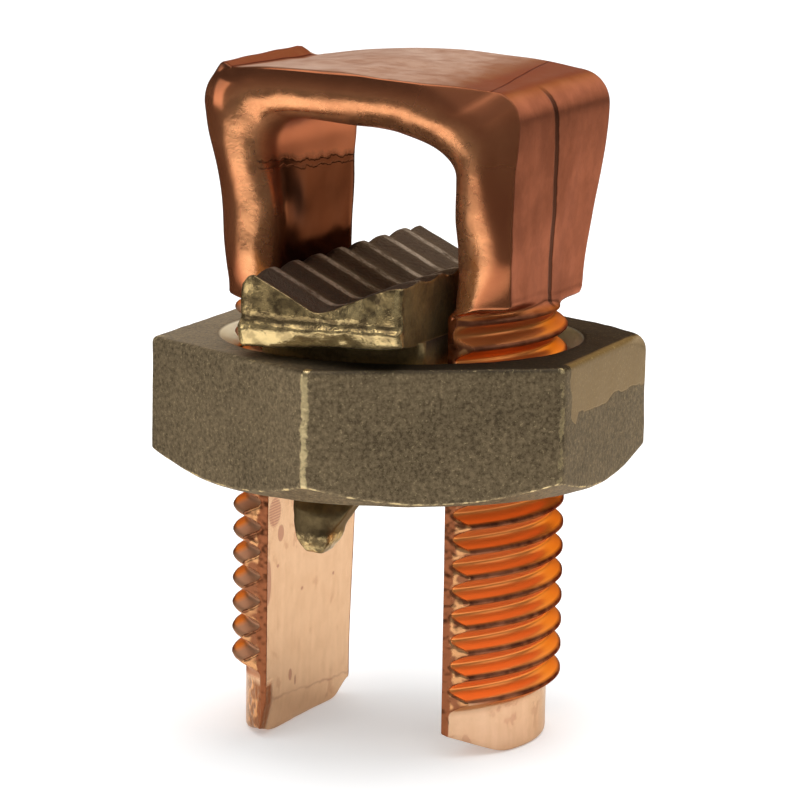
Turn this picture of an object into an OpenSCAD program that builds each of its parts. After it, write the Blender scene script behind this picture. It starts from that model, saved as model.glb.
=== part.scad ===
// Split bolt connector: a forged split bolt, a hexagon nut and a pressure bar.
// Origin on the bolt axis at the leg ends, +Z up the bolt, X across the slot, Y along the conductors.

/* [Thread] */
// Outside diameter of the thread on the legs
thread_d = 20; // [18.5:0.5:22]
// Rise of the thread in one turn
thread_pitch = 1.5; // [1.25:0.25:2]
// Depth of the thread groove
thread_depth = 0.92; // [0.7:0.02:1]
// Radial clearance between the nut thread and the leg thread
thread_gap = 0.12; // [0.1:0.01:0.2]

/* [Legs] */
// Width of the slot between the legs
slot_w = 11.2; // [9.5:0.1:12]
// Width of a leg along the conductors
leg_w = 13.8; // [12:0.1:15]
// Height at which the legs meet the forged head
neck_z = 26.4; // [26:0.1:32]
// Length of the plain pilot at each leg end
pilot_l = 3.1; // [2.5:0.1:6]
// Bevel on the slot side of each leg end
end_bevel = 2; // [1:0.1:2.4]

/* [Head] */
// Height of the head above the neck
head_h = 14; // [12:0.1:18]
// Width of the head over its end faces, at the top
head_w = 20.1; // [19:0.1:24]
// Depth of the head along the conductors, at the top
head_d = 16.4; // [15.5:0.1:19]
// Thickness of the arch over the window
arch_t = 3.5; // [3:0.1:5]
// Corner radius of the window
window_r = 3.2; // [2:0.1:4.5]
// Corner radius of the head outline
head_r = 2; // [1:0.1:3]
// Rise of the crowned top face
crown = 0.7; // [0.2:0.1:1.2]
// Rounding of the forged edges round the window
forge_r = 2.6; // [1:0.1:3]
// Rounding of the outside edges
edge_r = 0.8; // [0.4:0.1:1.2]

/* [Nut] */
// Width of the nut across its flats
nut_af = 26; // [25:0.5:32]
// Height of the nut
nut_h = 8; // [7:0.1:9]
// Height of the nut's top face above the leg ends
nut_top = 24; // [21:0.1:24.2]
// Radius of the turned flat under the nut
nut_base_r = 12.7; // [12:0.1:12.8]
// Depth of the countersink on top of the nut
sink_depth = 1.7; // [1:0.1:2]
// Bevel round the top edge of the nut
nut_bevel = 0.3; // [0.2:0.1:0.6]

/* [Pressure bar] */
// Clearance between the bar and each leg
bar_gap = 0.5; // [0.3:0.1:0.8]
// Length of the bar along the conductors
bar_l = 25.4; // [22:0.2:27]
// Height of the bar's shoulders above the nut
bar_h = 4.75; // [4.2:0.05:6]
// Depth of the V between the shoulders
saddle_depth = 1.65; // [1:0.05:2]
// Gap between the bar's lip and the nut
lip_lift = 0.95; // [0.6:0.05:1.2]
// Clearance between the bar's seat and the nut countersink
seat_gap = 0.2; // [0.15:0.05:0.3]
// Number of grooves across the saddle
groove_count = 8; // [5:1:10]
// Depth of each groove
groove_depth = 0.55; // [0.3:0.05:0.7]
// Width of each groove
groove_w = 1.5; // [1:0.1:1.8]
// Width of a prong
prong_w = 4.4; // [3:0.1:5]
// Reach of a prong below the nut
prong_drop = 3.8; // [3:0.1:5]

/* [Hidden] */
$fn = 96;

thread_r = thread_d / 2;
root_r = thread_r - thread_depth;
slot_x = slot_w / 2;
// Half width of a leg, which leaves a narrow side face inside the thread root
side_face = 0.1;
leg_y = min(leg_w / 2, sqrt(root_r * root_r - slot_x * slot_x) - side_face);
bore_r = root_r + thread_gap;

// Thread form over one pitch: [part of the pitch, part of the depth], from crest to crest
THREAD_FORM = [[-0.09, 0], [0.09, 0], [0.35, 0.9], [0.5, 1], [0.65, 0.9]];
// Part of a pitch by which the helix starts above the leg ends
thread_phase = 0.5;
// Parts of a pitch kept free below the first crest and above the last one
run_in = 0.4;
run_out = 1.35;

// Facets round a leg and round the nut thread
leg_facets = 12;
nut_facets = 36;

// The legs run this far up into the head
leg_lap = 0.8;
// First and last whole turn of the thread on the legs
first_turn = ceil(pilot_l / thread_pitch + run_in - thread_phase);
last_turn = floor((neck_z + leg_lap) / thread_pitch - thread_phase - run_out);

// Stations along the head: up a column, round a corner, across half the arch
column_steps = 8;
corner_steps = 7;
arch_steps = 5;
// Facets in the large and in the small rounding of a head section
forge_steps = 6;
edge_steps = 3;

head_top = neck_z + head_h;
head_x = head_w / 2;
// Narrower end face and depth of the head at the neck, a little proud of the legs
neck_proud = 0.1;
neck_x = root_r + neck_proud;
neck_y = leg_y + neck_proud / 2;
// Radius to which the section is drawn in at the neck, and its growth up the column
neck_r = thread_r + 1;
neck_growth = head_h / 2;
// Share of the column over which the forged rounding grows to its full size
forge_share = 0.4;
window_z = head_top - arch_t;

// Chamfer angle under the nut and depth of the countersink there
nut_chamfer_angle = 30;
foot_sink = 0.9;
sink_r = bore_r + sink_depth;
// Cutters stand this far out of what they cut
over = 1;

bar_x = slot_x - bar_gap;
bar_y = bar_l / 2;
// Lip, crease and lean of the bar's end faces
lip_top = lip_lift + 1.35;
lip_round = 0.35;
crease = 0.4;
end_lean = 0.6;
// Flat floor of a groove
groove_floor = groove_w / 4;
// Conical seat of the bar in the nut countersink
seat_r = sink_r - seat_gap * sqrt(2);
seat_lift = 0.5;
seat_depth = sink_depth - seat_lift;
// The prongs stand clear of the bore, off centre by half a turn of symmetry, and hook under the nut
prong_gap = 0.35;
prong_r = bore_r - prong_gap;
prong_t = 2;
prong_shift = 1.4;
hook_gap = 0.3;
hook_out = 0.6;
hook_r = bore_r + hook_out;
// Outline of a prong below the nut: [part of its half width, part of its drop]
PRONG_FORM = [[0.33, 0.7], [0.125, 1], [-0.5, 1], [-0.8, 0.55]];

// Closes a stack of rings with equal point counts into one solid
module skin(rings) {
    n = len(rings[0]);
    m = len(rings);
    sides = [for (i = [0:m - 2], j = [0:n - 1])
        each [[i * n + j, (i + 1) * n + j, (i + 1) * n + (j + 1) % n],
              [i * n + j, (i + 1) * n + (j + 1) % n, i * n + (j + 1) % n]]];
    caps = [[for (j = [0:n - 1]) j], [for (j = [n - 1:-1:0]) (m - 1) * n + j]];
    polyhedron([for (ring = rings) each ring], concat(sides, caps), convexity = 10);
}

// One ring round a leg: two slot corners and the round back; rise is the climb of the thread in a turn
function leg_ring(r, z, rise, turn) =
    let (a = asin(leg_y / r), climb = function(t) z + rise * (t + turn) / 360)
    concat([[slot_x, -leg_y, climb(-a)]],
           [for (i = [0:leg_facets]) let (t = -a + 2 * a * i / leg_facets)
               [r * cos(t), r * sin(t), climb(t)]],
           [[slot_x, leg_y, climb(a)]]);

// A leg with its part of the one helix, turned round the axis by 0 or 180 degrees
module leg(turn) {
    row = function(k, p) leg_ring(
        thread_r - thread_depth * p[1], (k + thread_phase + p[0]) * thread_pitch, thread_pitch, turn);
    thread = [for (k = [first_turn:last_turn], p = THREAD_FORM) row(k, p)];
    start_z = (first_turn + thread_phase - run_in) * thread_pitch;
    rings = concat(
        [leg_ring(root_r, 0, 0, turn), leg_ring(root_r, start_z, thread_pitch, turn)],
        thread,
        [leg_ring(root_r, neck_z + leg_lap, 0, turn)]);
    rotate([0, 0, turn])
    difference() {
        skin(rings);
        translate([slot_x, 0, 0])
        rotate([0, 45, 0])
        cube([end_bevel * sqrt(2), 2 * thread_d, end_bevel * sqrt(2)], center = true);
    }
}

// Smooth step from 0 to 1
function ease(t) = let (c = max(0, min(1, t))) c * c * (3 - 2 * c);

// Half outlines of the head in XZ, from neck to crown: [inside point, outside point, share of the way up]
function head_stations() =
    let (in_z = window_z - window_r, end_top = head_top - crown, out_z = end_top - head_r,
         out_x = function(f) neck_x + (head_x - neck_x) * ease(f))
    concat(
        [for (i = [0:column_steps]) let (f = i / column_steps)
            [[slot_x, neck_z + (in_z - neck_z) * f], [out_x(f), neck_z + (out_z - neck_z) * f], f]],
        [for (i = [1:corner_steps]) let (a = 90 * i / corner_steps)
            [[slot_x - window_r * (1 - cos(a)), in_z + window_r * sin(a)],
             [head_x - head_r * (1 - cos(a)), out_z + head_r * sin(a)], 1]],
        [for (i = [1:arch_steps]) let (f = 1 - i / arch_steps)
            [[(slot_x - window_r) * f, window_z],
             [(head_x - head_r) * f, head_top - crown * f * f], 1]]);

// Rounded section between an inside and an outside point; the neck is drawn in to the shank
function head_section(s) =
    let (t = norm(s[1] - s[0]), e = (s[1] - s[0]) / t,
         w = neck_y + (head_d / 2 - neck_y) * ease(s[2]),
         ri = edge_r / 2 + (forge_r - edge_r / 2) * ease(s[2] / forge_share),
         reach = neck_r + neck_growth * s[2],
         half = concat(
             [for (i = [0:forge_steps]) let (a = 180 - 90 * i / forge_steps)
                 [ri + ri * cos(a), w - ri + ri * sin(a)]],
             [for (i = [0:edge_steps]) let (a = 90 - 90 * i / edge_steps)
                 [t - edge_r + edge_r * cos(a), w - edge_r + edge_r * sin(a)]]),
         n = len(half),
         loop = concat([for (p = half) [p[0], -p[1]]], [for (i = [n - 1:-1:0]) half[i]]))
    [for (p = loop) let (x = s[0][0] + e[0] * p[0], k = min(1, reach / norm([x, p[1]])))
        [x * k, p[1] * k, s[0][1] + e[1] * p[0]]];

// The forged arch: one loft up the right column, over the arch and down the left column
module head() {
    right = [for (s = head_stations()) head_section(s)];
    n = len(right);
    left = [for (i = [n - 2:-1:0]) [for (p = right[i]) [-p[0], p[1], p[2]]]];
    skin(concat(right, left));
}

module split_bolt() {
    color([0.72, 0.38, 0.22])
    union() {
        head();
        leg(0);
        leg(180);
    }
}

// Solid screw with the thread form of the legs, larger by the clearance, to cut the nut
module thread_cutter(first, turns) {
    n = len(THREAD_FORM);
    rows = n * turns;
    start = first + thread_phase;
    pts = [for (m = [0:rows], j = [0:nut_facets - 1])
        let (p = THREAD_FORM[m % n], part = j / nut_facets, a = 360 * part,
             r = thread_r + thread_gap - thread_depth * p[1])
        [r * cos(a), r * sin(a), (start + floor(m / n) + p[0] + part) * thread_pitch]];
    // A full turn on, a row goes over into the row one pitch higher
    at = function(m, j) j < nut_facets ? m * nut_facets + j : (m + n) * nut_facets;
    last = nut_facets - 1;
    foot_point = len(pts);
    top_point = foot_point + 1;
    walls = [for (m = [0:rows - 1], j = [0:last]) if (j < last || m + 1 + n <= rows)
        each [[at(m, j), at(m + 1, j), at(m + 1, j + 1)], [at(m, j), at(m + 1, j + 1), at(m, j + 1)]]];
    foot = concat([for (j = [0:nut_facets]) at(0, j)], [for (m = [n - 1:-1:1]) at(m, 0)]);
    top = concat([for (j = [0:last]) at(rows, j)], [for (m = [rows - 1:-1:rows - n]) at(m, last)]);
    foot_fan = [for (i = [0:len(foot) - 1]) [foot[i], foot[(i + 1) % len(foot)], foot_point]];
    top_fan = [for (i = [0:len(top) - 1]) [top[(i + 1) % len(top)], top[i], top_point]];
    polyhedron(
        concat(pts, [[0, 0, first * thread_pitch], [0, 0, (first + turns) * thread_pitch]]),
        concat(walls, foot_fan, top_fan), convexity = 10);
}

module hex_nut() {
    corner_r = nut_af / sqrt(3);
    chamfer_h = (corner_r - nut_base_r) * tan(nut_chamfer_angle);
    base_z = nut_top - nut_h;
    first = floor(base_z / thread_pitch) - 1;
    color([0.36, 0.32, 0.22])
    difference() {
        translate([0, 0, base_z])
        intersection() {
            rotate([0, 0, 30])
            union() {
                cylinder(h = nut_h - nut_bevel, r = corner_r, $fn = 6);
                translate([0, 0, nut_h - nut_bevel])
                cylinder(h = nut_bevel, r1 = corner_r, r2 = corner_r - nut_bevel, $fn = 6);
            }
            rotate_extrude()
            polygon([[0, 0], [nut_base_r, 0], [corner_r, chamfer_h], [corner_r + over, chamfer_h],
                     [corner_r + over, nut_h], [0, nut_h]]);
        }
        thread_cutter(first, ceil(nut_h / thread_pitch) + 3);
        translate([0, 0, nut_top - sink_depth])
        cylinder(h = sink_depth + over, r1 = bore_r, r2 = sink_r + over);
        translate([0, 0, base_z - over])
        cylinder(h = foot_sink + over, r1 = bore_r + foot_sink + over, r2 = bore_r);
    }
}

// Two sloping cutters with grooved undersides, which meet along the valley of the saddle
module saddle_cutter() {
    slope = atan(saddle_depth / bar_x);
    step = bar_l / groove_count;
    far = bar_l;
    underside = [for (i = [0:groove_count - 1]) let (y = (i - (groove_count - 1) / 2) * step)
        each [[y - groove_w / 2, 0], [y - groove_floor / 2, -groove_depth],
              [y + groove_floor / 2, -groove_depth], [y + groove_w / 2, 0]]];
    for (turn = [0, 180])
        rotate([0, 0, turn])
        intersection() {
            translate([0, 0, bar_h - saddle_depth])
            rotate([0, -slope, 0])
            rotate([90, 0, 90])
            translate([0, 0, -bar_x])
            linear_extrude(height = 3 * bar_x)
            polygon(concat([[-far, 0]], underside, [[far, 0], [far, bar_h], [-far, bar_h]]));
            translate([0, -far, 0])
            cube([2 * bar_x, 2 * far, 3 * bar_h]);
        }
}

// Side view of one end of the bar, from the middle outwards: lip, crease and leaning face
function bar_end() = [
    [0, lip_lift], [bar_y - lip_round, lip_lift], [bar_y, lip_lift + lip_round],
    [bar_y, lip_top - lip_round], [bar_y - crease, lip_top], [bar_y - crease / 2, lip_top + crease],
    [bar_y - end_lean, bar_h], [0, bar_h]];

// A tongue that goes down through the nut and hooks out below it
module prong() {
    foot = -(nut_h + prong_drop);
    w = prong_w / 2;
    hook_z = -(nut_h + hook_gap);
    intersection() {
        translate([-prong_shift, -prong_r + prong_t, 0])
        rotate([90, 0, 0])
        linear_extrude(height = 2 * prong_t)
        polygon(concat(
            [[-w, 0], [w, 0], [w, hook_z]],
            [for (p = PRONG_FORM) [w * p[0], -nut_h - prong_drop * p[1]]],
            [[-w, hook_z]]));
        rotate_extrude()
        polygon([[0, 0], [prong_r, 0], [prong_r, hook_z], [hook_r, hook_z - hook_r + prong_r],
                 [hook_r, foot + crease], [hook_r - crease, foot], [0, foot]]);
    }
}

module pressure_bar() {
    near = bar_end();
    far = [for (i = [len(near) - 2:-1:1]) [-near[i][0], near[i][1]]];
    color([0.45, 0.38, 0.2])
    translate([0, 0, nut_top])
    difference() {
        union() {
            translate([bar_x, 0, 0])
            rotate([90, 0, -90])
            linear_extrude(height = 2 * bar_x)
            polygon(concat(near, far));
            intersection() {
                rotate_extrude()
                polygon([[0, -seat_depth], [seat_r - seat_depth, -seat_depth], [seat_r, 0],
                         [seat_r, lip_lift + lip_round], [0, lip_lift + lip_round]]);
                cube([2 * bar_x, bar_l, 4 * bar_h], center = true);
            }
            for (turn = [0, 180])
                rotate([0, 0, turn])
                prong();
        }
        saddle_cutter();
    }
}

split_bolt();
hex_nut();
pressure_bar();
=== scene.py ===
# %% [markdown]
# # A split bolt connector
# The object is a clamp for electric wires, in three pieces: a forged copper bolt whose shank is
# split into two threaded legs, a bronze hexagon nut, and a bronze pressure bar that the nut pushes
# up the slot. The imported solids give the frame: every piece below is made in the same place and
# size as its solid, in finer detail, and then stands for it.

# %% Load the frame
import math

import bmesh
import bpy
import numpy as np
from mathutils import Matrix, Vector


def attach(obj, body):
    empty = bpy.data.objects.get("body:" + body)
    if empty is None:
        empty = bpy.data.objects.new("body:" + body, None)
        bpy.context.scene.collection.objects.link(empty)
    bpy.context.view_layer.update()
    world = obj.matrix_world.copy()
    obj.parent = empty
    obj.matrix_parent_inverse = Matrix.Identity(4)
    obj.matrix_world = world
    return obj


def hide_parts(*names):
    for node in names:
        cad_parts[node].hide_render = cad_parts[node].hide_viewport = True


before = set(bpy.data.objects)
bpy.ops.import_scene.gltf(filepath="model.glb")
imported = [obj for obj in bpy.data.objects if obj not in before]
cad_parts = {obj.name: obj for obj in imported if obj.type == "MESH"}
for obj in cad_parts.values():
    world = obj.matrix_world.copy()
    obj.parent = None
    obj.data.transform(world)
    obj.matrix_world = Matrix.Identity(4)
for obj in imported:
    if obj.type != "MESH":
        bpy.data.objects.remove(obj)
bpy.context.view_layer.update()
MM = 0.001

# %% [markdown]
# ## Camera
# The photograph is a close view from the right, a little above, with a long lens. The camera is
# set from those angles: `back` points from the object to the camera, and the other two axes
# follow from it. A small roll tilts the frame as the picture is tilted.

# %% Camera
AZIMUTH, ELEVATION, ROLL = (math.radians(a) for a in (21.5, 10.0, 0.9))
DISTANCE = 266.14 * MM
AIM = Vector((-0.019, -0.0075, 19.99)) * MM
LENS = 200.13

back = Vector((
    math.sin(AZIMUTH) * math.cos(ELEVATION),
    -math.cos(AZIMUTH) * math.cos(ELEVATION),
    math.sin(ELEVATION)))
level = Vector((math.cos(AZIMUTH), math.sin(AZIMUTH), 0))
upright = back.cross(level)
across = level * math.cos(ROLL) + upright * math.sin(ROLL)
upward = upright * math.cos(ROLL) - level * math.sin(ROLL)

camera = bpy.data.objects.new("camera", bpy.data.cameras.new("camera"))
camera.data.lens = LENS
camera.data.sensor_width = 36
camera.data.clip_start = 0.01
turn = Matrix((across, upward, back)).transposed().to_4x4()
camera.matrix_world = Matrix.Translation(AIM + back * DISTANCE) @ turn
bpy.context.scene.collection.objects.link(camera)
bpy.context.scene.camera = camera
print("camera at", [round(c, 4) for c in camera.location])

# %% [markdown]
# ## Small tools for swept pieces
# The bolt, the bar and the prongs are all sweeps: a ring of points that is carried along a path
# and closed at both ends. Each ring has two long runs and two short runs, so an end can be closed
# by a grid that is stretched between the four runs, with no thin triangles.

# %% Sweep tools
def ease(t):
    """Smooth step from 0 to 1."""
    t = np.clip(t, 0, 1)
    return t * t * (3 - 2 * t)


def spans(*parts):
    """Even steps through (start, end, count) parts, closed by the last end."""
    runs = [np.linspace(a, b, n, endpoint=False) for a, b, n in parts]
    return np.concatenate(runs + [[parts[-1][1]]])


def grid_quads(index):
    """Quads between neighbours in a table of point numbers."""
    corners = [index[:-1, :-1], index[:-1, 1:], index[1:, 1:], index[1:, :-1]]
    return np.stack(corners, axis=-1).reshape(-1, 4)

# %% Closed sweeps
def stretched_grid(ring, long, short):
    """A grid between the four runs of a ring: long run, short run, long run, short run."""
    turn = long + short - 2
    a = ring[:long]
    b = ring[long - 1:long - 1 + short]
    c = ring[turn:turn + long][::-1]
    d = np.concatenate([ring[turn + long - 1:], ring[:1]])[::-1]
    u = np.linspace(0, 1, long)[None, :, None]
    v = np.linspace(0, 1, short)[:, None, None]
    corners = ((1 - u) * (1 - v) * a[0] + u * (1 - v) * a[-1] + u * v * c[-1] + (1 - u) * v * c[0])
    return (1 - v) * a[None] + v * c[None] + (1 - u) * d[:, None] + u * b[:, None] - corners


def ring_table(first, long, short):
    """Point numbers of a ring laid out on the edge of a grid, with -1 inside."""
    table = np.full((short, long), -1)
    edge = first + np.arange(2 * (long + short) - 4)
    turn = long + short - 2
    table[0] = edge[:long]
    table[:, -1] = edge[long - 1:long - 1 + short]
    table[-1] = edge[turn:turn + long][::-1]
    table[:, 0] = np.concatenate([edge[turn + long - 1:], edge[:1]])[::-1]
    return table


def sweep(rings, long, short):
    """Points and quads of a closed sweep; the two ends are stretched grids."""
    rows, count = rings.shape[:2]
    index = np.arange(rows * count).reshape(rows, count)
    quads = [grid_quads(np.hstack([index, index[:, :1]]))]
    points = [rings.reshape(-1, 3)]
    total = rows * count
    for row in (0, rows - 1):
        table = ring_table(row * count, long, short)
        inside = table < 0
        table[inside] = total + np.arange(inside.sum())
        points.append(stretched_grid(rings[row], long, short)[inside])
        total += inside.sum()
        quads.append(grid_quads(table))
    return np.concatenate(points), np.concatenate(quads)

# %% New piece
def new_piece(name, points, quads, **masks):
    """A mesh object from points in mm, with one mask value for each point, faces outwards."""
    mesh = bpy.data.meshes.new(name)
    mesh.from_pydata((points * MM).tolist(), [], quads.tolist())
    for key, values in masks.items():
        layer = mesh.attributes.new(key, "FLOAT", "POINT")
        layer.data.foreach_set("value", np.asarray(values, np.float32).ravel())
    tidy = bmesh.new()
    tidy.from_mesh(mesh)
    bmesh.ops.recalc_face_normals(tidy, faces=tidy.faces)
    tidy.to_mesh(mesh)
    tidy.free()
    piece = bpy.data.objects.new(name, mesh)
    bpy.context.scene.collection.objects.link(piece)
    print(name, len(mesh.vertices), "points,", len(mesh.polygons), "faces")
    return piece

# %% [markdown]
# ## Sums in a node tree
# Geometry Nodes and shader nodes share the Math node. `Wire` holds one socket of a tree, and the
# plain signs +, -, * and / between wires add the Math nodes, so a rule reads as a formula here and
# is still a node tree in Blender.

# %% Wire
class Wire:
    """One socket of a node tree, for use in sums."""

    def __init__(self, tree, socket):
        self.tree = tree
        self.socket = socket

    def math(self, operation, *others):
        return make(self.tree, "ShaderNodeMath", self, *others, operation=operation)

    def __add__(self, other):
        return self.math("ADD", other)

    def __sub__(self, other):
        return self.math("SUBTRACT", other)

    def __mul__(self, other):
        return self.math("MULTIPLY", other)

    def __truediv__(self, other):
        return self.math("DIVIDE", other)

    def __neg__(self):
        return self * -1.0

    def rest(self):
        """What is missing to 1."""
        return -self + 1.0

    def clamp(self):
        return self.math("MAXIMUM", 0.0).math("MINIMUM", 1.0)

# %% Node tools
def feed(tree, socket, value):
    """Gives a socket a wire or a plain value."""
    if isinstance(value, Wire):
        tree.links.new(value.socket, socket)
    elif value is not None:
        socket.default_value = value


def make(tree, kind, *values, out=0, named=None, **settings):
    """Adds a node, feeds its sockets by place and by name, and returns one output."""
    node = tree.nodes.new(kind)
    for key, value in settings.items():
        setattr(node, key, value)
    for socket, value in zip(node.inputs, values):
        feed(tree, socket, value)
    for key, value in (named or {}).items():
        feed(tree, node.inputs[key], value)
    return Wire(tree, node.outputs[out])


def axes(tree, vector):
    """The three parts of a vector."""
    node = tree.nodes.new("ShaderNodeSeparateXYZ")
    feed(tree, node.inputs[0], vector)
    return [Wire(tree, s) for s in node.outputs]

# %% [markdown]
# A Geometry Nodes tree gets its sizes from named inputs and ends in real geometry with a material.
# `run_tree` puts a tree on a piece as a modifier, takes the evaluated mesh and removes the
# modifier, so what is left is a plain mesh. Trees hand masks to each other as values on the points.

# %% Tree tools
FLOAT, VECTOR = "NodeSocketFloat", "NodeSocketVector"


def geometry_tree(name, **inputs):
    """An empty Geometry Nodes tree with named inputs, and a wire for each of them."""
    inputs["Material"] = "NodeSocketMaterial"
    tree = bpy.data.node_groups.new(name, "GeometryNodeTree")
    face = tree.interface
    face.new_socket("Geometry", in_out="OUTPUT", socket_type="NodeSocketGeometry")
    face.new_socket("Geometry", in_out="INPUT", socket_type="NodeSocketGeometry")
    for key, kind in inputs.items():
        face.new_socket(key, in_out="INPUT", socket_type=kind)
    start = tree.nodes.new("NodeGroupInput")
    wires = {s.name: Wire(tree, s) for s in start.outputs if s.name}
    return tree, wires


def stored(tree, name):
    """Reads a mask from the points."""
    return make(tree, "GeometryNodeInputNamedAttribute", name, data_type="FLOAT")


def store(tree, shape, name, value):
    """Writes a mask on the points."""
    return make(tree, "GeometryNodeStoreNamedAttribute", shape, data_type="FLOAT",
                domain="POINT", named={"Name": name, "Value": value})


def end_tree(tree, geometry, material):
    """Closes a tree: real geometry in one material goes out."""
    real = make(tree, "GeometryNodeRealizeInstances", geometry)
    dressed = make(tree, "GeometryNodeSetMaterial", real, named={"Material": material})
    finish = tree.nodes.new("NodeGroupOutput")
    feed(tree, finish.inputs["Geometry"], dressed)


def run_tree(piece, tree, **values):
    """Runs a tree on a piece and keeps the result as its plain mesh."""
    modifier = piece.modifiers.new(tree.name, "NODES")
    modifier.node_group = tree
    for socket in tree.interface.items_tree:
        if socket.in_out == "INPUT" and socket.name in values:
            modifier[socket.identifier] = values[socket.name]
    bpy.context.view_layer.update()
    done = piece.evaluated_get(bpy.context.evaluated_depsgraph_get())
    mesh = bpy.data.meshes.new_from_object(done)
    piece.modifiers.clear()
    old, piece.data = piece.data, mesh
    bpy.data.meshes.remove(old)
    mesh.name = piece.name
    return piece


copper, nut_bronze, bar_bronze = (
    bpy.data.materials.new(name) for name in ("copper", "nut_bronze", "bar_bronze"))
print("materials still empty:", [m.name for m in (copper, nut_bronze, bar_bronze)])

# %% [markdown]
# ## The thread rule
# A screw thread is a rule, so it is a Geometry Nodes tree. A point at angle `a` and height `z` sits
# `z / pitch - a / turn` turns along the helix, and the sine of that gives how deep it lies in the
# groove. The tree pushes points out to the thread's radius and then cuts them off at the flat sides
# of the leg, as the real thread is cut by the slot. The same tree serves the legs and the nut.

# %% Thread tree
CREST_SHARE, CREST_ROUND, RUN_IN = 0.24, 0.1, 0.1
thread_tree, given = geometry_tree(
    "helical_thread", Pitch=FLOAT, Depth=FLOAT, Root=FLOAT, Start=FLOAT, Side=FLOAT)
x, y, z = axes(thread_tree, make(thread_tree, "GeometryNodeInputPosition"))
mask = stored(thread_tree, "thread")
radius = (x * x + y * y).math("SQRT")
angle = y.math("ARCTAN2", x).math("WRAP", 1.5 * math.pi, -0.5 * math.pi)
climb = z / given["Pitch"] - angle / (2 * math.pi)
wave = (climb * math.pi + math.pi / 2).math("SINE").math("ABSOLUTE")
groove = ((wave - CREST_SHARE) / (1 - CREST_SHARE)).math("SMOOTH_MAX", 0.0, CREST_ROUND)
begun = ((climb * given["Pitch"] - given["Start"]) / (given["Pitch"] * RUN_IN)).clamp()
target = given["Root"] + given["Depth"] * begun * groove.rest()
grown = radius + (target.math("MAXIMUM", radius) - radius) * mask
ratio = grown / radius
flank = (y * ratio).math("MINIMUM", given["Side"]).math("MAXIMUM", -given["Side"])
moved = make(thread_tree, "ShaderNodeCombineXYZ", x * ratio, y + (flank - y) * mask, z)
shape = make(thread_tree, "GeometryNodeSetPosition", given["Geometry"],
             named={"Position": moved})
shape = store(thread_tree, shape, "groove", groove * begun * mask)
end_tree(thread_tree, shape, given["Material"])
print("thread tree with", len(thread_tree.nodes), "nodes")

# %% [markdown]
# ## The metal skin
# Forged and cast metal has no knife edges and no perfect planes. This tree softens all edges by
# blurring the points a little, then lets a noise push the surface in and out by some hundredths of
# a millimetre where the mask that it is told to read is set.

# %% Skin tree
skin_tree, given = geometry_tree(
    "metal_skin", Soften="NodeSocketInt", Waves=FLOAT, Height=FLOAT, Seed=FLOAT,
    Mask="NodeSocketString")
place = make(skin_tree, "GeometryNodeInputPosition")
soft = make(skin_tree, "GeometryNodeBlurAttribute", data_type="FLOAT_VECTOR",
            named={"Value": place, "Iterations": given["Soften"]})
shape = make(skin_tree, "GeometryNodeSetPosition", given["Geometry"], named={"Position": soft})
noise = make(skin_tree, "ShaderNodeTexNoise", noise_dimensions="4D", named={
    "Vector": place, "W": given["Seed"], "Scale": given["Waves"], "Detail": 1.0})
mask = stored(skin_tree, given["Mask"])
normal = make(skin_tree, "GeometryNodeInputNormal")
push = make(skin_tree, "ShaderNodeVectorMath", normal, operation="SCALE", named={
    "Scale": (noise - 0.5) * given["Height"] * mask})
shape = make(skin_tree, "GeometryNodeSetPosition", shape, named={"Offset": push})
end_tree(skin_tree, shape, given["Material"])
print("skin tree with", len(skin_tree.nodes), "nodes")

# %% [markdown]
# ## The forged bolt
# The bolt is one bar of copper bent over and split: up the left leg, over the head, down the right
# leg. One closed sweep follows that path, so the light runs over it without a seam. Below the neck
# the ring is the D of a leg; in the head it is a rounded rectangle whose window edges are rolled
# round by the forging die.

# %% Bolt sizes
THREAD_R, THREAD_DEPTH, PITCH = 10.0, 0.92, 1.5
ROOT_R = THREAD_R - THREAD_DEPTH
SLOT_X, LEG_Y = 5.6, 6.9
THREAD_START = 3.0
NECK_Z, HEAD_TOP, CROWN = 26.4, 40.4, 0.7
HEAD_X, HEAD_Y, HEAD_R = 10.05, 8.2, 2.0
NECK_X, NECK_Y, NECK_REACH = ROOT_R + 0.1, LEG_Y + 0.05, THREAD_R + 1
OUTSIDE_TOP = HEAD_TOP - CROWN - HEAD_R
LONG, SHORT = 57, 24
print("root radius", round(ROOT_R, 2), "mm, head corners from", round(OUTSIDE_TOP, 2), "mm up")

# %% [markdown]
# A leg's rows climb with the helix, so each crest lies on one row of points. The corner between the
# round back and the side face moves with the thread, so the points crowd together there. Both legs
# end in a slanted saw cut, and the left leg's slot face is twisted a little towards its end.

# %% Leg rings
CORNER_A = math.degrees(math.asin(LEG_Y / ROOT_R))
CREST_A = 43.0
back_a = np.radians(spans((CORNER_A, CREST_A, 14), (CREST_A, -CREST_A, 28),
                          (-CREST_A, -CORNER_A, 14)))
flat_y = LEG_Y * spans((-1, -0.95, 5), (-0.95, 0.95, 46), (0.95, 1, 5))
corner_x = math.sqrt(ROOT_R ** 2 - LEG_Y ** 2)
side_x = np.linspace(SLOT_X, corner_x, SHORT)[1:-1]

leg_outline = np.concatenate([
    np.column_stack([np.full(LONG, SLOT_X), flat_y]),
    np.column_stack([side_x, np.full(SHORT - 2, LEG_Y)]),
    np.column_stack([ROOT_R * np.cos(back_a), ROOT_R * np.sin(back_a)]),
    np.column_stack([side_x[::-1], np.full(SHORT - 2, -LEG_Y)])])
IS_FLAT = np.arange(len(leg_outline)) < LONG
IS_BACK = np.zeros(len(leg_outline), bool)
IS_BACK[LONG + SHORT - 2:2 * LONG + SHORT - 2] = True
print("ring points", len(leg_outline))

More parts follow.
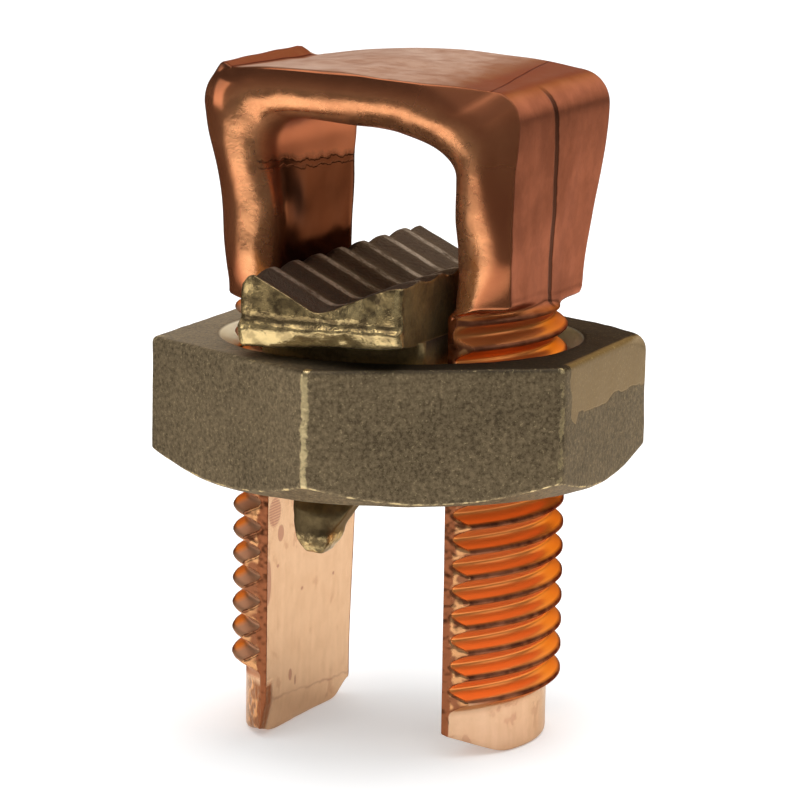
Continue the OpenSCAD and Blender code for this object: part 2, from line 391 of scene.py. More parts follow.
# %% Leg ends
LEG_TWIST, TWIST_FROM, TWIST_LENGTH = 0.3, 14.0, 12.0
FOOT_ROUND = 0.7
FOOT_CUT = {1: (1.6, 0.2, 0.35), -1: (2.4, 0.085, 4.2)}
TONGUE_FAR, TONGUE_NEAR = (0.9, 4.2, 2.7), (0.6, 4.0, 2.9)


def tongue(across, high, start, width):
    """Height of one side of the tongue, from its start outwards."""
    return high * ease((across - start) / width)


def foot_height(xs, ys, side):
    """Height of a leg's end over the floor: the saw cut, and a tongue on the left leg."""
    high, skew, fall = FOOT_CUT[side]
    foot = np.maximum(high - skew * (ys + LEG_Y) - fall * (xs - SLOT_X), 0)
    if side < 0:
        foot = np.maximum(foot, tongue(ys, *TONGUE_FAR) + tongue(-ys, *TONGUE_NEAR))
    return foot


def leg_ring(z, side):
    """Ring of a leg at height z; side is 1 for the right leg and -1 for the left one."""
    xs, ys = leg_outline.T
    slant = side * PITCH / (2 * math.pi) * np.arctan2(ys, xs)
    slant = slant * ease((NECK_Z - z) / PITCH) * ease(z / THREAD_START)
    lift = foot_height(xs, ys, side) * (1 - ease(z / (2 * THREAD_START)))
    if side < 0:
        twist = LEG_TWIST * ease((TWIST_FROM - z) / TWIST_LENGTH)
        slot_face = SLOT_X + twist * (ys / LEG_Y + 1) / 2
        xs = np.where(IS_BACK, xs, np.maximum(xs, slot_face))
    below = 1 - min(z / FOOT_ROUND, 1)
    inset = 1 - IS_BACK * FOOT_ROUND * (1 - math.sqrt(1 - below * below)) / ROOT_R
    return np.column_stack([xs * inset, ys * inset, z + slant + lift])


STEP, FOOT_ROWS, OVERLAP = PITCH / 11, 14, 1.2
leg_z = np.concatenate([
    np.linspace(0, THREAD_START, FOOT_ROWS, endpoint=False),
    np.arange(THREAD_START, NECK_Z + OVERLAP, STEP)])
print("leg rows", len(leg_z))

# %% [markdown]
# The head's stations go up a column, round the corner and along half the arch, each from a point on
# the window to a point on the outside. No forging is even: the window's top falls away to the
# right, the left column is drawn in at its waist and bulges into the window, the top leans, and a
# burr was pressed out along the left end of the top. Each of these is a small value on one side.

# %% Head stations
WINDOW = {1: (34.3, (SLOT_X, 35.6), (3.2, 36.45), (1.6, 36.97)),
          -1: (35.4, (5.5, 37.3), (4.0, 37.28), (2.0, 37.2))}
WINDOW_MIDDLE = (0.0, 37.05)
COLUMN_ROWS, CORNER_ROWS, ARCH_ROWS = 36, 22, 20


def bend(a, b, c, count, closed=False):
    """Points on a soft bend from a to c that is pulled towards b."""
    t = np.linspace(0, 1, count, endpoint=closed)[:, None]
    return (1 - t) ** 2 * np.array(a) + 2 * t * (1 - t) * np.array(b) + t * t * np.array(c)


def outside_point(f):
    """Point on the outside of the head: column up to 1, corner up to 2, arch up to 3."""
    if f < 1:
        return NECK_X + (HEAD_X - NECK_X) * ease(f), NECK_Z + (OUTSIDE_TOP - NECK_Z) * f
    if f < 2:
        a = (f - 1) * math.pi / 2
        return HEAD_X - HEAD_R * (1 - math.cos(a)), OUTSIDE_TOP + HEAD_R * math.sin(a)
    return (HEAD_X - HEAD_R) * (3 - f), HEAD_TOP - CROWN * (3 - f) ** 2


def head_stations(side):
    """Inside point, outside point and share of the way, for one half of the head."""
    high, corner, shoulder, slope = WINDOW[side]
    inside = np.concatenate([
        bend((SLOT_X, NECK_Z), (SLOT_X, (NECK_Z + high) / 2), (SLOT_X, high), COLUMN_ROWS),
        bend((SLOT_X, high), corner, shoulder, CORNER_ROWS),
        bend(shoulder, slope, WINDOW_MIDDLE, ARCH_ROWS, True)])
    way = spans((0, 1, COLUMN_ROWS), (1, 2, CORNER_ROWS), (2, 3, ARCH_ROWS - 1))
    return [(i, outside_point(f), f) for i, f in zip(inside, way)]


print("head stations on each side:", len(head_stations(1)))

# %% [markdown]
# A ring of the head is a rectangle with a radius of its own at every edge. On the near side the
# metal was rolled back by the die, so that side leans from its foremost line to the outer edge. The
# points crowd together where the end face is parted, so the fine line there stays sharp.

# %% Head section
def arc(centre, radius, start, end, count):
    """Points on an arc, with its two angles in degrees."""
    a = np.radians(np.linspace(start, end, count))
    return np.column_stack([centre[0] + radius * np.cos(a), centre[1] + radius * np.sin(a)])


def rounded(thick, near, far, r_in, r_near, r_far, lean):
    """Section in (out, y): window side first, then the far, outer and near sides.

    The near side is rolled: past its foremost line it leans back to the outer edge."""
    s, c, tip = math.sin(lean), math.cos(lean), math.degrees(lean) - 90
    r_in = min(r_in, (thick - r_near * (1 - s)) / (1 + s))
    r_back = min(r_in, thick - r_far)
    slope = (thick - r_near - r_in - (r_in - r_near) * s) / c
    inside_near, inside_far = (r_in, -near + r_in), (r_back, far - r_back)
    outside_near = (thick - r_near, -near + r_in * (1 - c) + slope * s + r_near * c)
    outside_far = (thick - r_far, far - r_far)
    k, m, n = 13, (SHORT - 4) // 2 + 1, SHORT - 7

    def flat(a, b, steps):
        return a + (b - a) * steps[1:-1, None]

    inner = [arc(inside_near, r_in, 225, 180, k), arc(inside_far, r_back, 180, 135, k)]
    outer = [arc(outside_far, r_far, 45, 0, k), arc(outside_near, r_near, 0, tip / 2, k)]
    far_side = [arc(inside_far, r_back, 135, 90, m)[1:], arc(outside_far, r_far, 90, 45, m)[:-1]]
    near_side = [arc(outside_near, r_near, tip / 2, tip, 5)[1:],
                 arc(inside_near, r_in, tip, -135, n)[:-1]]
    even = np.linspace(0, 1, LONG - 2 * k + 2)
    crowded = spans((0, 0.46, 12), (0.46, 0.54, 8), (0.54, 1, 12))
    short = np.linspace(0, 1, 4)
    return np.concatenate([
        inner[0], flat(inner[0][-1], inner[1][0], even), inner[1],
        far_side[0], flat(far_side[0][-1], far_side[1][0], short), far_side[1],
        outer[0], flat(outer[0][-1], outer[1][0], crowded), outer[1],
        near_side[0], flat(near_side[0][-1], near_side[1][0], short), near_side[1]])

# %% Head rings
NEAR_R, EDGE_R = 0.22, 0.8
NECK_FORGE_R, FORGE_R = 1.4, 2.6
WAIST, BULGE = 0.5, 0.4
LEAN_X = (-9, -6, -4, -2, 0, 1.5, 4.3, 6.4, 9)
LEAN_Z = (0.45, 0.35, 0.12, -0.1, -0.22, -0.33, -0.38, -0.28, -0.12)
YAW = (-0.4, 0.2)
ROLL_BACK = math.radians(38)


def bump(t, middle, width):
    """A soft hill of height 1."""
    return np.exp(-((t - middle) / width) ** 2)


def burr(y, f):
    """Height of the lip along the left end of the top; it ends before the far corner."""
    tall = (0.4 + 0.5 * (y + HEAD_Y) / 12.5) * (1 - ease((y - 4.6) / 1.8))
    return tall * bump(f, 1.78, 0.15)


def head_ring(station, side):
    """Ring of the head in its own half; the left half is slimmer at the waist."""
    inside, outside, f = np.array(station[0]), np.array(station[1]), station[2]
    up = min(f, 1.0)
    near = far = NECK_Y + (HEAD_Y - NECK_Y) * ease(up)
    r_near, r_far = NEAR_R, EDGE_R
    if side < 0:
        waist = WAIST * bump(f, 0.62, 0.3)
        outside = outside - np.array([waist + 0.2 * bump(f, 0.1, 0.2), 0])
        near = near - waist - 0.4 * bump(f, 0.05, 0.2)
        r_near = 0.4 + 0.6 * ease((2.1 - f) / 0.5) + 0.4 * ease((1.1 - f) / 0.5)
    rolled_in = ease(up / 0.4)
    r_in = NECK_FORGE_R + (FORGE_R - NECK_FORGE_R) * rolled_in
    way = outside - inside
    thick = np.linalg.norm(way)
    way = way / thick
    flat = rounded(thick, near, far, r_in, r_near, r_far, ROLL_BACK * (0.6 + 0.4 * rolled_in))
    share = ease(flat[:, 0] / thick)
    xs, ys, zs = inside[0] + way[0] * flat[:, 0], flat[:, 1], inside[1] + way[1] * flat[:, 0]
    if side < 0:
        zs = zs + IS_BACK * burr(ys, f)
        xs = xs - BULGE * bump(f, 0.58, 0.22) * ease((-ys - 1) / 6) * (1 - share)
    lean = np.interp(side * xs, LEAN_X, LEAN_Z) * (HEAD_Y - ys) / (2 * HEAD_Y)
    zs = zs + lean * share * ease((f - 0.9) / 0.6)
    if side > 0:
        turn = np.interp(ys, (-HEAD_Y, HEAD_Y), YAW)
        xs = xs + turn * share * ease((f - 0.3) / 0.5) * (1 - ease((f - 1.6) / 0.5))
    reach = NECK_REACH + up * (HEAD_TOP - NECK_Z) / 2
    k = np.minimum(1, reach / np.maximum(np.hypot(xs, ys), 1e-6))
    return np.column_stack([xs * k, ys * k, zs])


print("head ring points", len(head_ring(head_stations(1)[0], 1)))

# %% [markdown]
# At the neck the leg's D goes over into the head's rectangle within a millimetre, which leaves the
# small ledge that is seen under the end face. The two halves are then joined into one path.

# %% Bolt sweep
LEDGE_SLOPE = {1: 0.05, -1: 0.0}
FOLD, FOLD_STEP = 0.045, 0.45


def half_path(side):
    """Rings from the end of one leg to the middle of the arch.

    Each point also gets its height, its place along the head and its share of the head."""
    stations = head_stations(side)
    window_top = WINDOW[side][0]
    rings, masks = [], []
    start = len([s for s in stations if s[1][1] < leg_z[-1]])
    for z in leg_z:
        ring = leg_ring(z, side)
        f = max((z - NECK_Z) / (OUTSIDE_TOP - NECK_Z), 0)
        head = head_ring(((SLOT_X, NECK_Z + (window_top - NECK_Z) * f), outside_point(f), f), side)
        if z < NECK_Z:
            head[:, 2] = z
        above = z - NECK_Z + LEDGE_SLOPE[side] * ring[:, 1]
        blend = ease((above + 0.35) / 0.5)
        ring = ring + (head - ring) * blend[:, None]
        if side > 0:
            wave = np.sin(above * 2 * math.pi / FOLD_STEP + 0.8 * np.sin(ring[:, 1]))
            ring[:, 0] += IS_BACK * FOLD * wave * bump(above, 0.55, 0.35)
        rings.append(ring)
        masks.append((np.full(len(ring), z), np.full(len(ring), -1.0), blend))
    for station in stations[start:]:
        rings.append(head_ring(station, side))
        ones = np.ones(len(leg_outline))
        masks.append((station[1][1] * ones, station[2] * ones, ones))
    rings = np.array(rings)
    rings[:, :, 0] *= side
    return rings, np.array(masks)


left_rings, left_rows = half_path(-1)
right_rings, right_rows = half_path(1)
bolt_rings = np.concatenate([left_rings[:-1], right_rings[::-1]])
bolt_rows = np.concatenate([left_rows[:-1], right_rows[::-1]])
bolt_points, bolt_quads = sweep(bolt_rings, LONG, SHORT)
first_cap = bolt_rings.shape[0] * bolt_rings.shape[1]
for side, cap in zip((-1, 1), np.array_split(np.arange(first_cap, len(bolt_points)), 2)):
    bolt_points[cap, 2] = foot_height(side * bolt_points[cap, 0], bolt_points[cap, 1], side)
print("bolt rings", bolt_rings.shape)

# %% [markdown]
# The masks say which part of the forging a point belongs to: the threads, the pale cut faces, the
# end and top faces, the inside of the window, the edges that the die rolled round, and the upper
# near face of the arch, which gets a painted dark reflection. Then the thread tree runs on the
# legs, and
# the skin tree twice: on the whole forging, and finer on the rolled edges alone.

# %% Bolt masks
rows, ring = bolt_rings.shape[:2]
caps = len(bolt_points) - rows * ring
row_z, along, in_head = bolt_rows[:, 0], bolt_rows[:, 1], bolt_rows[:, 2]
IS_SIDE = ~(IS_FLAT | IS_BACK)
from_end = np.minimum(np.arange(ring), LONG - 1 - np.arange(ring))
NEAR = np.arange(ring) - (2 * LONG + SHORT - 2)
FAR = np.arange(ring) - LONG
IS_ROLLED = np.where(IS_FLAT, np.clip(1 - from_end / 13, 0, 1), 0)
IS_ROLLED = np.where(NEAR >= 0, ease((NEAR - 9) / 6), IS_ROLLED)
IS_ROLLED = np.where(IS_SIDE & (NEAR < 0), 1 - ease((FAR - 5) / 6), IS_ROLLED)
threaded = IS_BACK * (1 - in_head)
pale = IS_FLAT * (1 - ease((row_z - 22) / 3))
pale = np.maximum(pale, IS_BACK * ease((THREAD_START + 0.6 - row_z) / 0.5))
end_face = IS_BACK * in_head * (1 - ease((along - 1.3) / 0.5))
top_face = IS_BACK * ease((along - 1.4) / 0.4)
window = IS_FLAT * in_head
rolled = IS_ROLLED * in_head
# The upper near face of the arch, where a painted dark reflection goes.
brow = ease((NEAR + 14) / 5) * (1 - ease((NEAR - 6) / 7)) * ease((along - 1.1) / 0.5)
LEG_ROUGH = 0.1
rough = LEG_ROUGH + (1 - LEG_ROUGH) * in_head
print("points in the two ends:", caps)

# %% Bolt piece
def with_caps(table, value):
    """A mask for the rings, and one value for all points of the two ends."""
    full = np.broadcast_to(table, (rows, ring)).reshape(-1)
    return np.concatenate([full, np.full(caps, float(value))])


bolt_masks = {
    "thread": (threaded, 0), "pale": (pale, 1), "end_face": (end_face, 0),
    "top_face": (top_face, 0), "window": (window, 0), "rolled": (rolled, 0), "brow": (brow, 0),
    "rough": (rough, LEG_ROUGH)}
bolt = new_piece("split_bolt_forging", bolt_points, bolt_quads,
                 **{key: with_caps(*pair) for key, pair in bolt_masks.items()})
run_tree(bolt, thread_tree, Pitch=PITCH * MM, Depth=THREAD_DEPTH * MM, Root=ROOT_R * MM,
         Start=THREAD_START * MM, Side=LEG_Y * MM, Material=copper)
run_tree(bolt, skin_tree, Soften=2, Waves=170.0, Height=0.0004, Seed=1.0, Mask="rough",
         Material=copper)
run_tree(bolt, skin_tree, Soften=0, Waves=420.0, Height=0.00024, Seed=6.0, Mask="rolled",
         Material=copper)

# %% [markdown]
# ## The hexagon nut
# A nut is a ring-shaped sweep: its profile goes over the top face, down the wrench flats, under the
# turned chamfer, up the threaded bore and out through the countersink. The six flats come from one
# rule for the radius at each angle, and the chamfer cone cuts that radius near the foot, which
# leaves the curved line low on every flat.

# %% Nut sweep
NUT_AF, NUT_TOP, NUT_H = 26.0, 24.0, 8.0
NUT_FOOT = NUT_TOP - NUT_H
BORE_R = ROOT_R + 0.12
SINK, FOOT_SINK = 1.7, 0.9
SINK_R = BORE_R + SINK
BASE_R = 12.7
PER_FLAT, CROWDING = 56, 0.86
AROUND = 6 * PER_FLAT
flat_t = np.arange(PER_FLAT) / PER_FLAT
flat_t = flat_t - CROWDING * np.sin(2 * math.pi * flat_t) / (2 * math.pi)
nut_a = (np.arange(6)[:, None] + 0.5 + flat_t[None]).ravel() * math.pi / 3
flats = np.maximum(np.cos(nut_a[:, None] - np.arange(6) * math.pi / 3), 0)
CORNER_POWER = 80
hex_r = NUT_AF / 2 / (flats ** CORNER_POWER).sum(1) ** (1 / CORNER_POWER)
NUT_EDGE, WORN_A, WORN_EDGE, WORN_WIDTH = 0.35, math.radians(30), 0.7, 0.14
off_worn = np.abs((nut_a - WORN_A + math.pi) % (2 * math.pi) - math.pi)
nut_edge = NUT_EDGE + WORN_EDGE * bump(off_worn, 0, WORN_WIDTH)
print("nut over corners", round(2 * hex_r.max(), 2), "mm")

# %% Nut rows
CHAMFER_A, CHAMFER_SOFT = math.radians(30), 0.15


def soft_min(a, b, width):
    """The smaller of two values, with a soft change-over."""
    h = np.clip(0.5 + (b - a) / (2 * width), 0, 1)
    return b + (a - b) * h - width * h * (1 - h)


def wall(z):
    """Radius of the wrench flats, cut off by the cone of the chamfer."""
    cone = BASE_R + (z - NUT_FOOT) / math.tan(CHAMFER_A)
    return soft_min(hex_r, cone, CHAMFER_SOFT)


ones = np.ones(AROUND)
nut_rows = []
for s in np.linspace(0, 1, 12, endpoint=False):
    nut_rows.append((SINK_R + (hex_r - nut_edge - SINK_R) * s, NUT_TOP * ones, 0.0))
for a in np.linspace(90, 0, 8, endpoint=False):
    up, out = math.sin(math.radians(a)), math.cos(math.radians(a))
    nut_rows.append((hex_r - nut_edge * (1 - out), NUT_TOP - nut_edge * (1 - up), 0.0))
for s in spans((0, 0.8, 22), (0.8, 1, 26)):
    z = NUT_TOP - nut_edge - (NUT_H - nut_edge) * s
    nut_rows.append((wall(z), z, 0.0))
for r in np.linspace(BASE_R - 0.2, BORE_R + FOOT_SINK, 8):
    nut_rows.append((r * ones, NUT_FOOT * ones, 0.0))
for z in np.arange(NUT_FOOT, NUT_TOP, STEP):
    foot_r = BORE_R + FOOT_SINK - (z - NUT_FOOT)
    sink_r = BORE_R + SINK - (NUT_TOP - z)
    nut_rows.append((max(foot_r, sink_r, BORE_R) * ones, z * ones, 1.0))

nut_r, nut_z, bored = zip(*nut_rows)
nut_r, nut_z = np.array(nut_r), np.array(nut_z)
bored = np.array(bored)[:, None] * np.ones((1, AROUND))
nut_points = np.stack([nut_r * np.cos(nut_a), nut_r * np.sin(nut_a), nut_z], axis=-1)
index = np.arange(nut_r.size).reshape(nut_r.shape)
index = np.vstack([index, index[:1]])
index = np.hstack([index, index[:, :1]])
print("nut rows", len(nut_rows))

# %% [markdown]
# The nut's edges are where wrenches rub: the six corners, the line of the chamfer and the rim of
# the top. One mask holds them all, and the front corner counts in full, a painted highlight over
# its wear.

# %% Nut piece
turned = (nut_a + math.pi / 6) % (math.pi / 3) - math.pi / 6
to_corner = NUT_AF / 2 * (math.tan(math.pi / 6) - np.abs(np.tan(turned)))
outside = (bored == 0) * (nut_r > hex_r - 0.8)
to_cone = (BASE_R + (nut_z - NUT_FOOT) * math.sqrt(3) - hex_r) / math.sqrt(3)
# The front corner gets a painted highlight on top of its wear.
front = bump(np.cos(nut_a + math.pi / 2), 1, 0.02)
edge = bump(to_corner, 0, 0.4) * (0.66 + 0.34 * front) * (to_cone > -0.1)
edge = np.maximum(edge, bump(to_cone, 0, 0.1) * 0.7)
edge = np.maximum(edge, bump(nut_z, NUT_TOP - 0.1, 0.16) * 0.45) * outside
nut = new_piece("hex_nut_casting", nut_points.reshape(-1, 3), grid_quads(index),
                thread=bored, edge=edge, bore=bored, rough=(bored == 0) * 1.0)
run_tree(nut, thread_tree, Pitch=PITCH * MM, Depth=THREAD_DEPTH * MM, Root=BORE_R * MM,
         Start=0.0, Side=1.0, Material=nut_bronze)
run_tree(nut, skin_tree, Soften=1, Waves=500.0, Height=0.0001, Seed=2.0, Mask="rough",
         Material=nut_bronze)

# %% [markdown]
# ## The pressure bar
# The bar is swept across the slot: each ring is its side view, with the flat foot, the rounded lip,
# the crease above it, the leaning end face and the top. The top sinks towards the middle to make
# the saddle that centres the wires; as on the real casting, its left side is steeper. The bar
# stands a little askew in its slot, so the points are sheared by a small share of y.

# %% Bar sweep
BAR_X, BAR_Y, BAR_H = 5.1, 12.7, 4.75
SADDLE_X = (-5.1, -4.75, -4.4, -4.0, -2.9, -1.6, -0.8, -0.1, 0.9, 2.5, 4.1, 5.1)
SADDLE_Z = (4.1, 4.55, 4.84, 4.98, 4.42, 3.75, 3.3, 2.98, 3.22, 3.95, 4.62, 4.82)
LIP_LIFT, LIP_TOP, LEAN = 0.95, 2.3, 0.6
BAR_LONG, BAR_SHORT = 161, 26

end_line = np.array([
    [BAR_Y - 0.6, LIP_LIFT], [BAR_Y - 0.36, LIP_LIFT + 0.12], [BAR_Y - 0.04, LIP_LIFT + 0.8],
    [BAR_Y + 0.02, LIP_TOP - 0.3], [BAR_Y - 0.45, LIP_TOP], [BAR_Y - 0.34, LIP_TOP + 0.4],
    [BAR_Y - LEAN, BAR_H]])
LEFT_ROUND, RIGHT_ROUND = 1.1, 0.5


def end_run(top):
    """Points up one end face, from the lip to the height of the top."""
    line = end_line.copy()
    line[-1, 1] = top
    length = np.concatenate([[0], np.cumsum(np.hypot(*np.diff(line, axis=0).T))])
    steps = np.linspace(0, length[-1], BAR_SHORT)
    return np.column_stack([np.interp(steps, length, line[:, 0]),
                            np.interp(steps, length, line[:, 1])])


def bar_ring(x):
    """Side view of the bar at one place across the slot."""
    top = np.interp(x, SADDLE_X, SADDLE_Z)
    rise = end_run(top)
    corner = LEFT_ROUND if x < 0 else RIGHT_ROUND
    past = np.clip((abs(x) - BAR_X + corner) / corner, 0, 1)
    rise[:, 0] -= corner * (1 - math.sqrt(1 - 0.98 * past * past))
    run = np.linspace(-1, 1, BAR_LONG)
    foot = np.column_stack([run * rise[0, 0], np.full(BAR_LONG, LIP_LIFT)])
    roof = np.column_stack([-run * rise[-1, 0], np.full(BAR_LONG, top)])
    near = np.column_stack([-rise[::-1, 0], rise[::-1, 1]])
    loop = np.concatenate([foot, rise[1:-1], roof, near[1:-1]])
    return np.column_stack([np.full(len(loop), x), loop[:, 0], NUT_TOP + loop[:, 1]])


bar_x = spans((-BAR_X, -BAR_X + 1.2, 10), (-BAR_X + 1.2, BAR_X - 0.6, 32),
              (BAR_X - 0.6, BAR_X, 6))
bar_rings = np.array([bar_ring(x) for x in bar_x])
bar_points, bar_quads = sweep(bar_rings, BAR_LONG, BAR_SHORT)
print("bar rings", bar_rings.shape)

# %% [markdown]
# The bar's masks tell the roof, the end faces and the lip apart, and hold how much each place is
# rubbed to gold and where a painted highlight lies: glints on the right half of each end and a line
# down its right edge. The two ends are alike after half a turn, so `aside` counts to the right of
# each end as one looks at it. The lip sinks to one side and has a small notch.

# %% Bar piece
ASKEW = 0.033
NOTCH_X, NOTCH, NOTCH_WIDTH = 1.85, 0.4, 0.17
LIP_TILT, LIP_SINK = 0.055, 0.05
count = bar_rings.shape[1]
ring_place = np.arange(count)
first_roof = BAR_LONG + BAR_SHORT - 2
is_roof = (ring_place >= first_roof) & (ring_place < first_roof + BAR_LONG)
extra = len(bar_points) - len(bar_x) * count
roof = np.concatenate([np.tile(is_roof, len(bar_x)), np.zeros(extra)])
bx, by, bz = bar_points.T
at_end = ease((np.abs(by) - BAR_Y + 1.3) / 0.4) * (1 - roof)
lip = bump(bz - NUT_TOP, LIP_LIFT + 0.55, 0.55) * at_end
shoulder = ease((np.abs(bx) - BAR_X + 0.5) / 0.4) * ease((bz - NUT_TOP - 4.3) / 0.3)
aside = -np.sign(by) * bx
# Painted highlight down the right edge of each end, and painted glints over its right half.
edge_highlight = bump(aside, BAR_X - 0.25, 0.16) * at_end
end_gilt_and_glints = 0.36 + 0.36 * ease((aside + 1.5) / 2.5) * (1 - ease((bz - NUT_TOP - 3.0) / 1.2))
gilt = np.max([lip, end_gilt_and_glints * at_end, 0.6 * shoulder, 0.9 * edge_highlight], axis=0)
low = 1 - ease((bz - NUT_TOP - 1.2) / 1.2)
bar_points[:, 2] += (LIP_TILT * aside - LIP_SINK) * low * ease((np.abs(by) - 9) / 3)
bar_points[:, 1] -= np.sign(by) * NOTCH * bump(aside, NOTCH_X, NOTCH_WIDTH) * lip
bar_points[:, 0] += ASKEW * by
bar = new_piece("pressure_bar_casting", bar_points, bar_quads, serrated=roof, gilt=gilt,
                hammer=at_end * (1 - 0.25 * lip), rough=1 - 0.6 * roof, lip=lip)

# %% [markdown]
# Eight grooves run across the saddle and bite into the wires. They repeat at one step along the
# bar, so they are a tree of their own: the distance to the nearest groove decides how far a point
# of the roof sinks.

# %% Groove tree
groove_tree, given = geometry_tree("cross_grooves", Step=FLOAT, Width=FLOAT, Depth=FLOAT)
y = axes(groove_tree, make(groove_tree, "GeometryNodeInputPosition"))[1]
mask = stored(groove_tree, "serrated")
off = ((y / given["Step"]).math("FRACT") - 0.5).math("ABSOLUTE") * given["Step"]
sunk = ((given["Width"] * 0.5 - off) / (given["Width"] * 0.5)).clamp()
sunk = sunk * sunk * (sunk * -2 + 3) * mask
drop = make(groove_tree, "ShaderNodeCombineXYZ", 0.0, 0.0, -(sunk * given["Depth"]))
shape = make(groove_tree, "GeometryNodeSetPosition", given["Geometry"], named={"Offset": drop})
shape = store(groove_tree, shape, "groove", sunk)
end_tree(groove_tree, shape, given["Material"])
print("groove tree with", len(groove_tree.nodes), "nodes")

# %% Bar skin
GROOVES, GROOVE_WIDTH, GROOVE_DEPTH = 8, 2.8, 0.4
run_tree(bar, groove_tree, Step=2 * BAR_Y / GROOVES * MM, Width=GROOVE_WIDTH * MM,
         Depth=GROOVE_DEPTH * MM, Material=bar_bronze)
run_tree(bar, skin_tree, Soften=1, Waves=500.0, Height=0.00025, Seed=3.0, Mask="rough",
         Material=bar_bronze)
run_tree(bar, skin_tree, Soften=0, Waves=1500.0, Height=0.00028, Seed=5.0, Mask="hammer",
         Material=bar_bronze)
print("bar with", GROOVES, "grooves")

# %% [markdown]
# Two prongs hang from the bar through the nut and hook under it, so the nut carries the bar along.
# Each one ends in a rounded blob with a thinner web at its side. A round seat under the bar fits
# the countersink of the nut.

# %% Prongs
PRONG_W, PRONG_T, PRONG_SHIFT, PRONG_DROP = 4.4, 2.0, 1.4, 3.8
PRONG_R, HOOK_R = BORE_R - 0.35, BORE_R + 0.6
HOOK_Z, PRONG_FOOT = -(NUT_H + 0.3), -(NUT_H + PRONG_DROP)
P_LONG, P_SHORT = 28, 12
BLOB_X, BLOB_HALF = -1.75, 1.3
HIGH_SIDE = (0.1, 0.62, 0.85, 1), (PRONG_W / 2 - PRONG_SHIFT, -0.5, -0.75, -1.2)
LOW_SIDE = (0.1, 0.3, 0.6, 0.85, 1), (-PRONG_W / 2 - PRONG_SHIFT, -3.2, -3.05, -2.75, -2.2)


def prong_ring(z):
    """Ring of the near prong at a height over the nut's top face."""
    part = np.clip((-NUT_H - z) / PRONG_DROP, 0, 1)
    hi, lo = np.interp(part, *HIGH_SIDE), np.interp(part, *LOW_SIDE)
    reach = PRONG_R + np.clip(HOOK_Z - z, 0, HOOK_R - PRONG_R)
    tuck = 0.55 * ease((part - 0.72) / 0.28)
    run = np.linspace(lo, hi, P_LONG)
    web = ease((run - BLOB_X - 0.8) / 0.7) * ease((part - 0.05) / 0.1)
    round_off = np.clip(np.abs(run - BLOB_X) / BLOB_HALF, 0, 1) ** 3 * 0.35 * ease(part / 0.3)
    outer = -np.sqrt(reach ** 2 - run ** 2) + tuck + 0.75 * web + round_off
    inner = np.full(P_LONG, -PRONG_R + PRONG_T) - tuck
    steps, level = np.linspace(0, 1, P_SHORT)[1:-1], np.ones(P_SHORT - 2)
    right = np.column_stack([run[-1] * level, outer[-1] + (inner[-1] - outer[-1]) * steps])
    left = np.column_stack([run[0] * level, inner[0] + (outer[0] - inner[0]) * steps])
    loop = np.concatenate([np.column_stack([run, outer]), right,
                           np.column_stack([run[::-1], inner[::-1]]), left])
    return np.column_stack([loop, np.full(len(loop), NUT_TOP + z)])


prong_z = spans((1.2, HOOK_Z, 30), (HOOK_Z, PRONG_FOOT, 30))
prong_rings = np.array([prong_ring(z) for z in prong_z])
prong_points, prong_quads = sweep(prong_rings, P_LONG, P_SHORT)
prong_pair = []
for sign in (1, -1):
    turned = prong_points * np.array([sign, sign, 1])
    prong = new_piece(f"prong_{len(prong_pair)}", turned, prong_quads,
                      rough=np.ones(len(turned)))
    run_tree(prong, skin_tree, Soften=4, Waves=900.0, Height=0.0002, Seed=4.0, Mask="rough",
             Material=bar_bronze)
    prong_pair.append(prong)

# %% Seat
SEAT_PLAY, SIDE_PLAY = 0.2, 0.05
SEAT_R = SINK_R - SEAT_PLAY * math.sqrt(2)
SEAT_DEPTH = SINK - 0.5
SEAT_LONG, SEAT_SHORT = 60, 32
SEAT_AROUND = 2 * (SEAT_LONG + SEAT_SHORT) - 4
seat_a = np.arange(SEAT_AROUND) * math.pi / (SEAT_AROUND / 2)
seat_profile = [(SEAT_R - SEAT_DEPTH, -SEAT_DEPTH), (SEAT_R, 0), (SEAT_R, LIP_LIFT + 0.2)]


def tight(r):
    """Circle that is cut off at the sides of the bar."""
    xs = np.clip(r * np.cos(seat_a), -BAR_X + SIDE_PLAY, BAR_X - SIDE_PLAY)
    return np.column_stack([xs, r * np.sin(seat_a)])


seat_rings = np.array([np.column_stack([tight(r), np.full(SEAT_AROUND, NUT_TOP + z)])
                       for r, z in seat_profile])
seat_points, seat_quads = sweep(seat_rings, SEAT_LONG, SEAT_SHORT)
seat = new_piece("seat", seat_points, seat_quads)
seat.data.materials.append(bar_bronze)

# %% [markdown]
# The parts of the bar are one casting, so they are joined into one closed mesh. The masks of the
# prongs and the seat are written again afterwards, by height, since all that hangs below the bar
# is plain apart from the rubbed tips, which also carry painted glints.

# %% Join the bar
for part in prong_pair + [seat]:
    union = bar.modifiers.new("union", "BOOLEAN")
    union.operation = "UNION"
    union.solver = "EXACT"
    union.object = part
bpy.context.view_layer.update()
done = bar.evaluated_get(bpy.context.evaluated_depsgraph_get())
joined = bpy.data.meshes.new_from_object(done)
bar.modifiers.clear()
bar.data = joined
for part in prong_pair + [seat]:
    bpy.data.objects.remove(part)
spots = np.zeros(3 * len(joined.vertices), np.float32)
joined.vertices.foreach_get("co", spots)
heights = spots[2::3] / MM
hanging = heights < NUT_TOP + 0.5
TIP_BELOW, TIP_SOFT = 2.0, 0.8
tip = ease((NUT_FOOT - TIP_BELOW - heights) / TIP_SOFT)
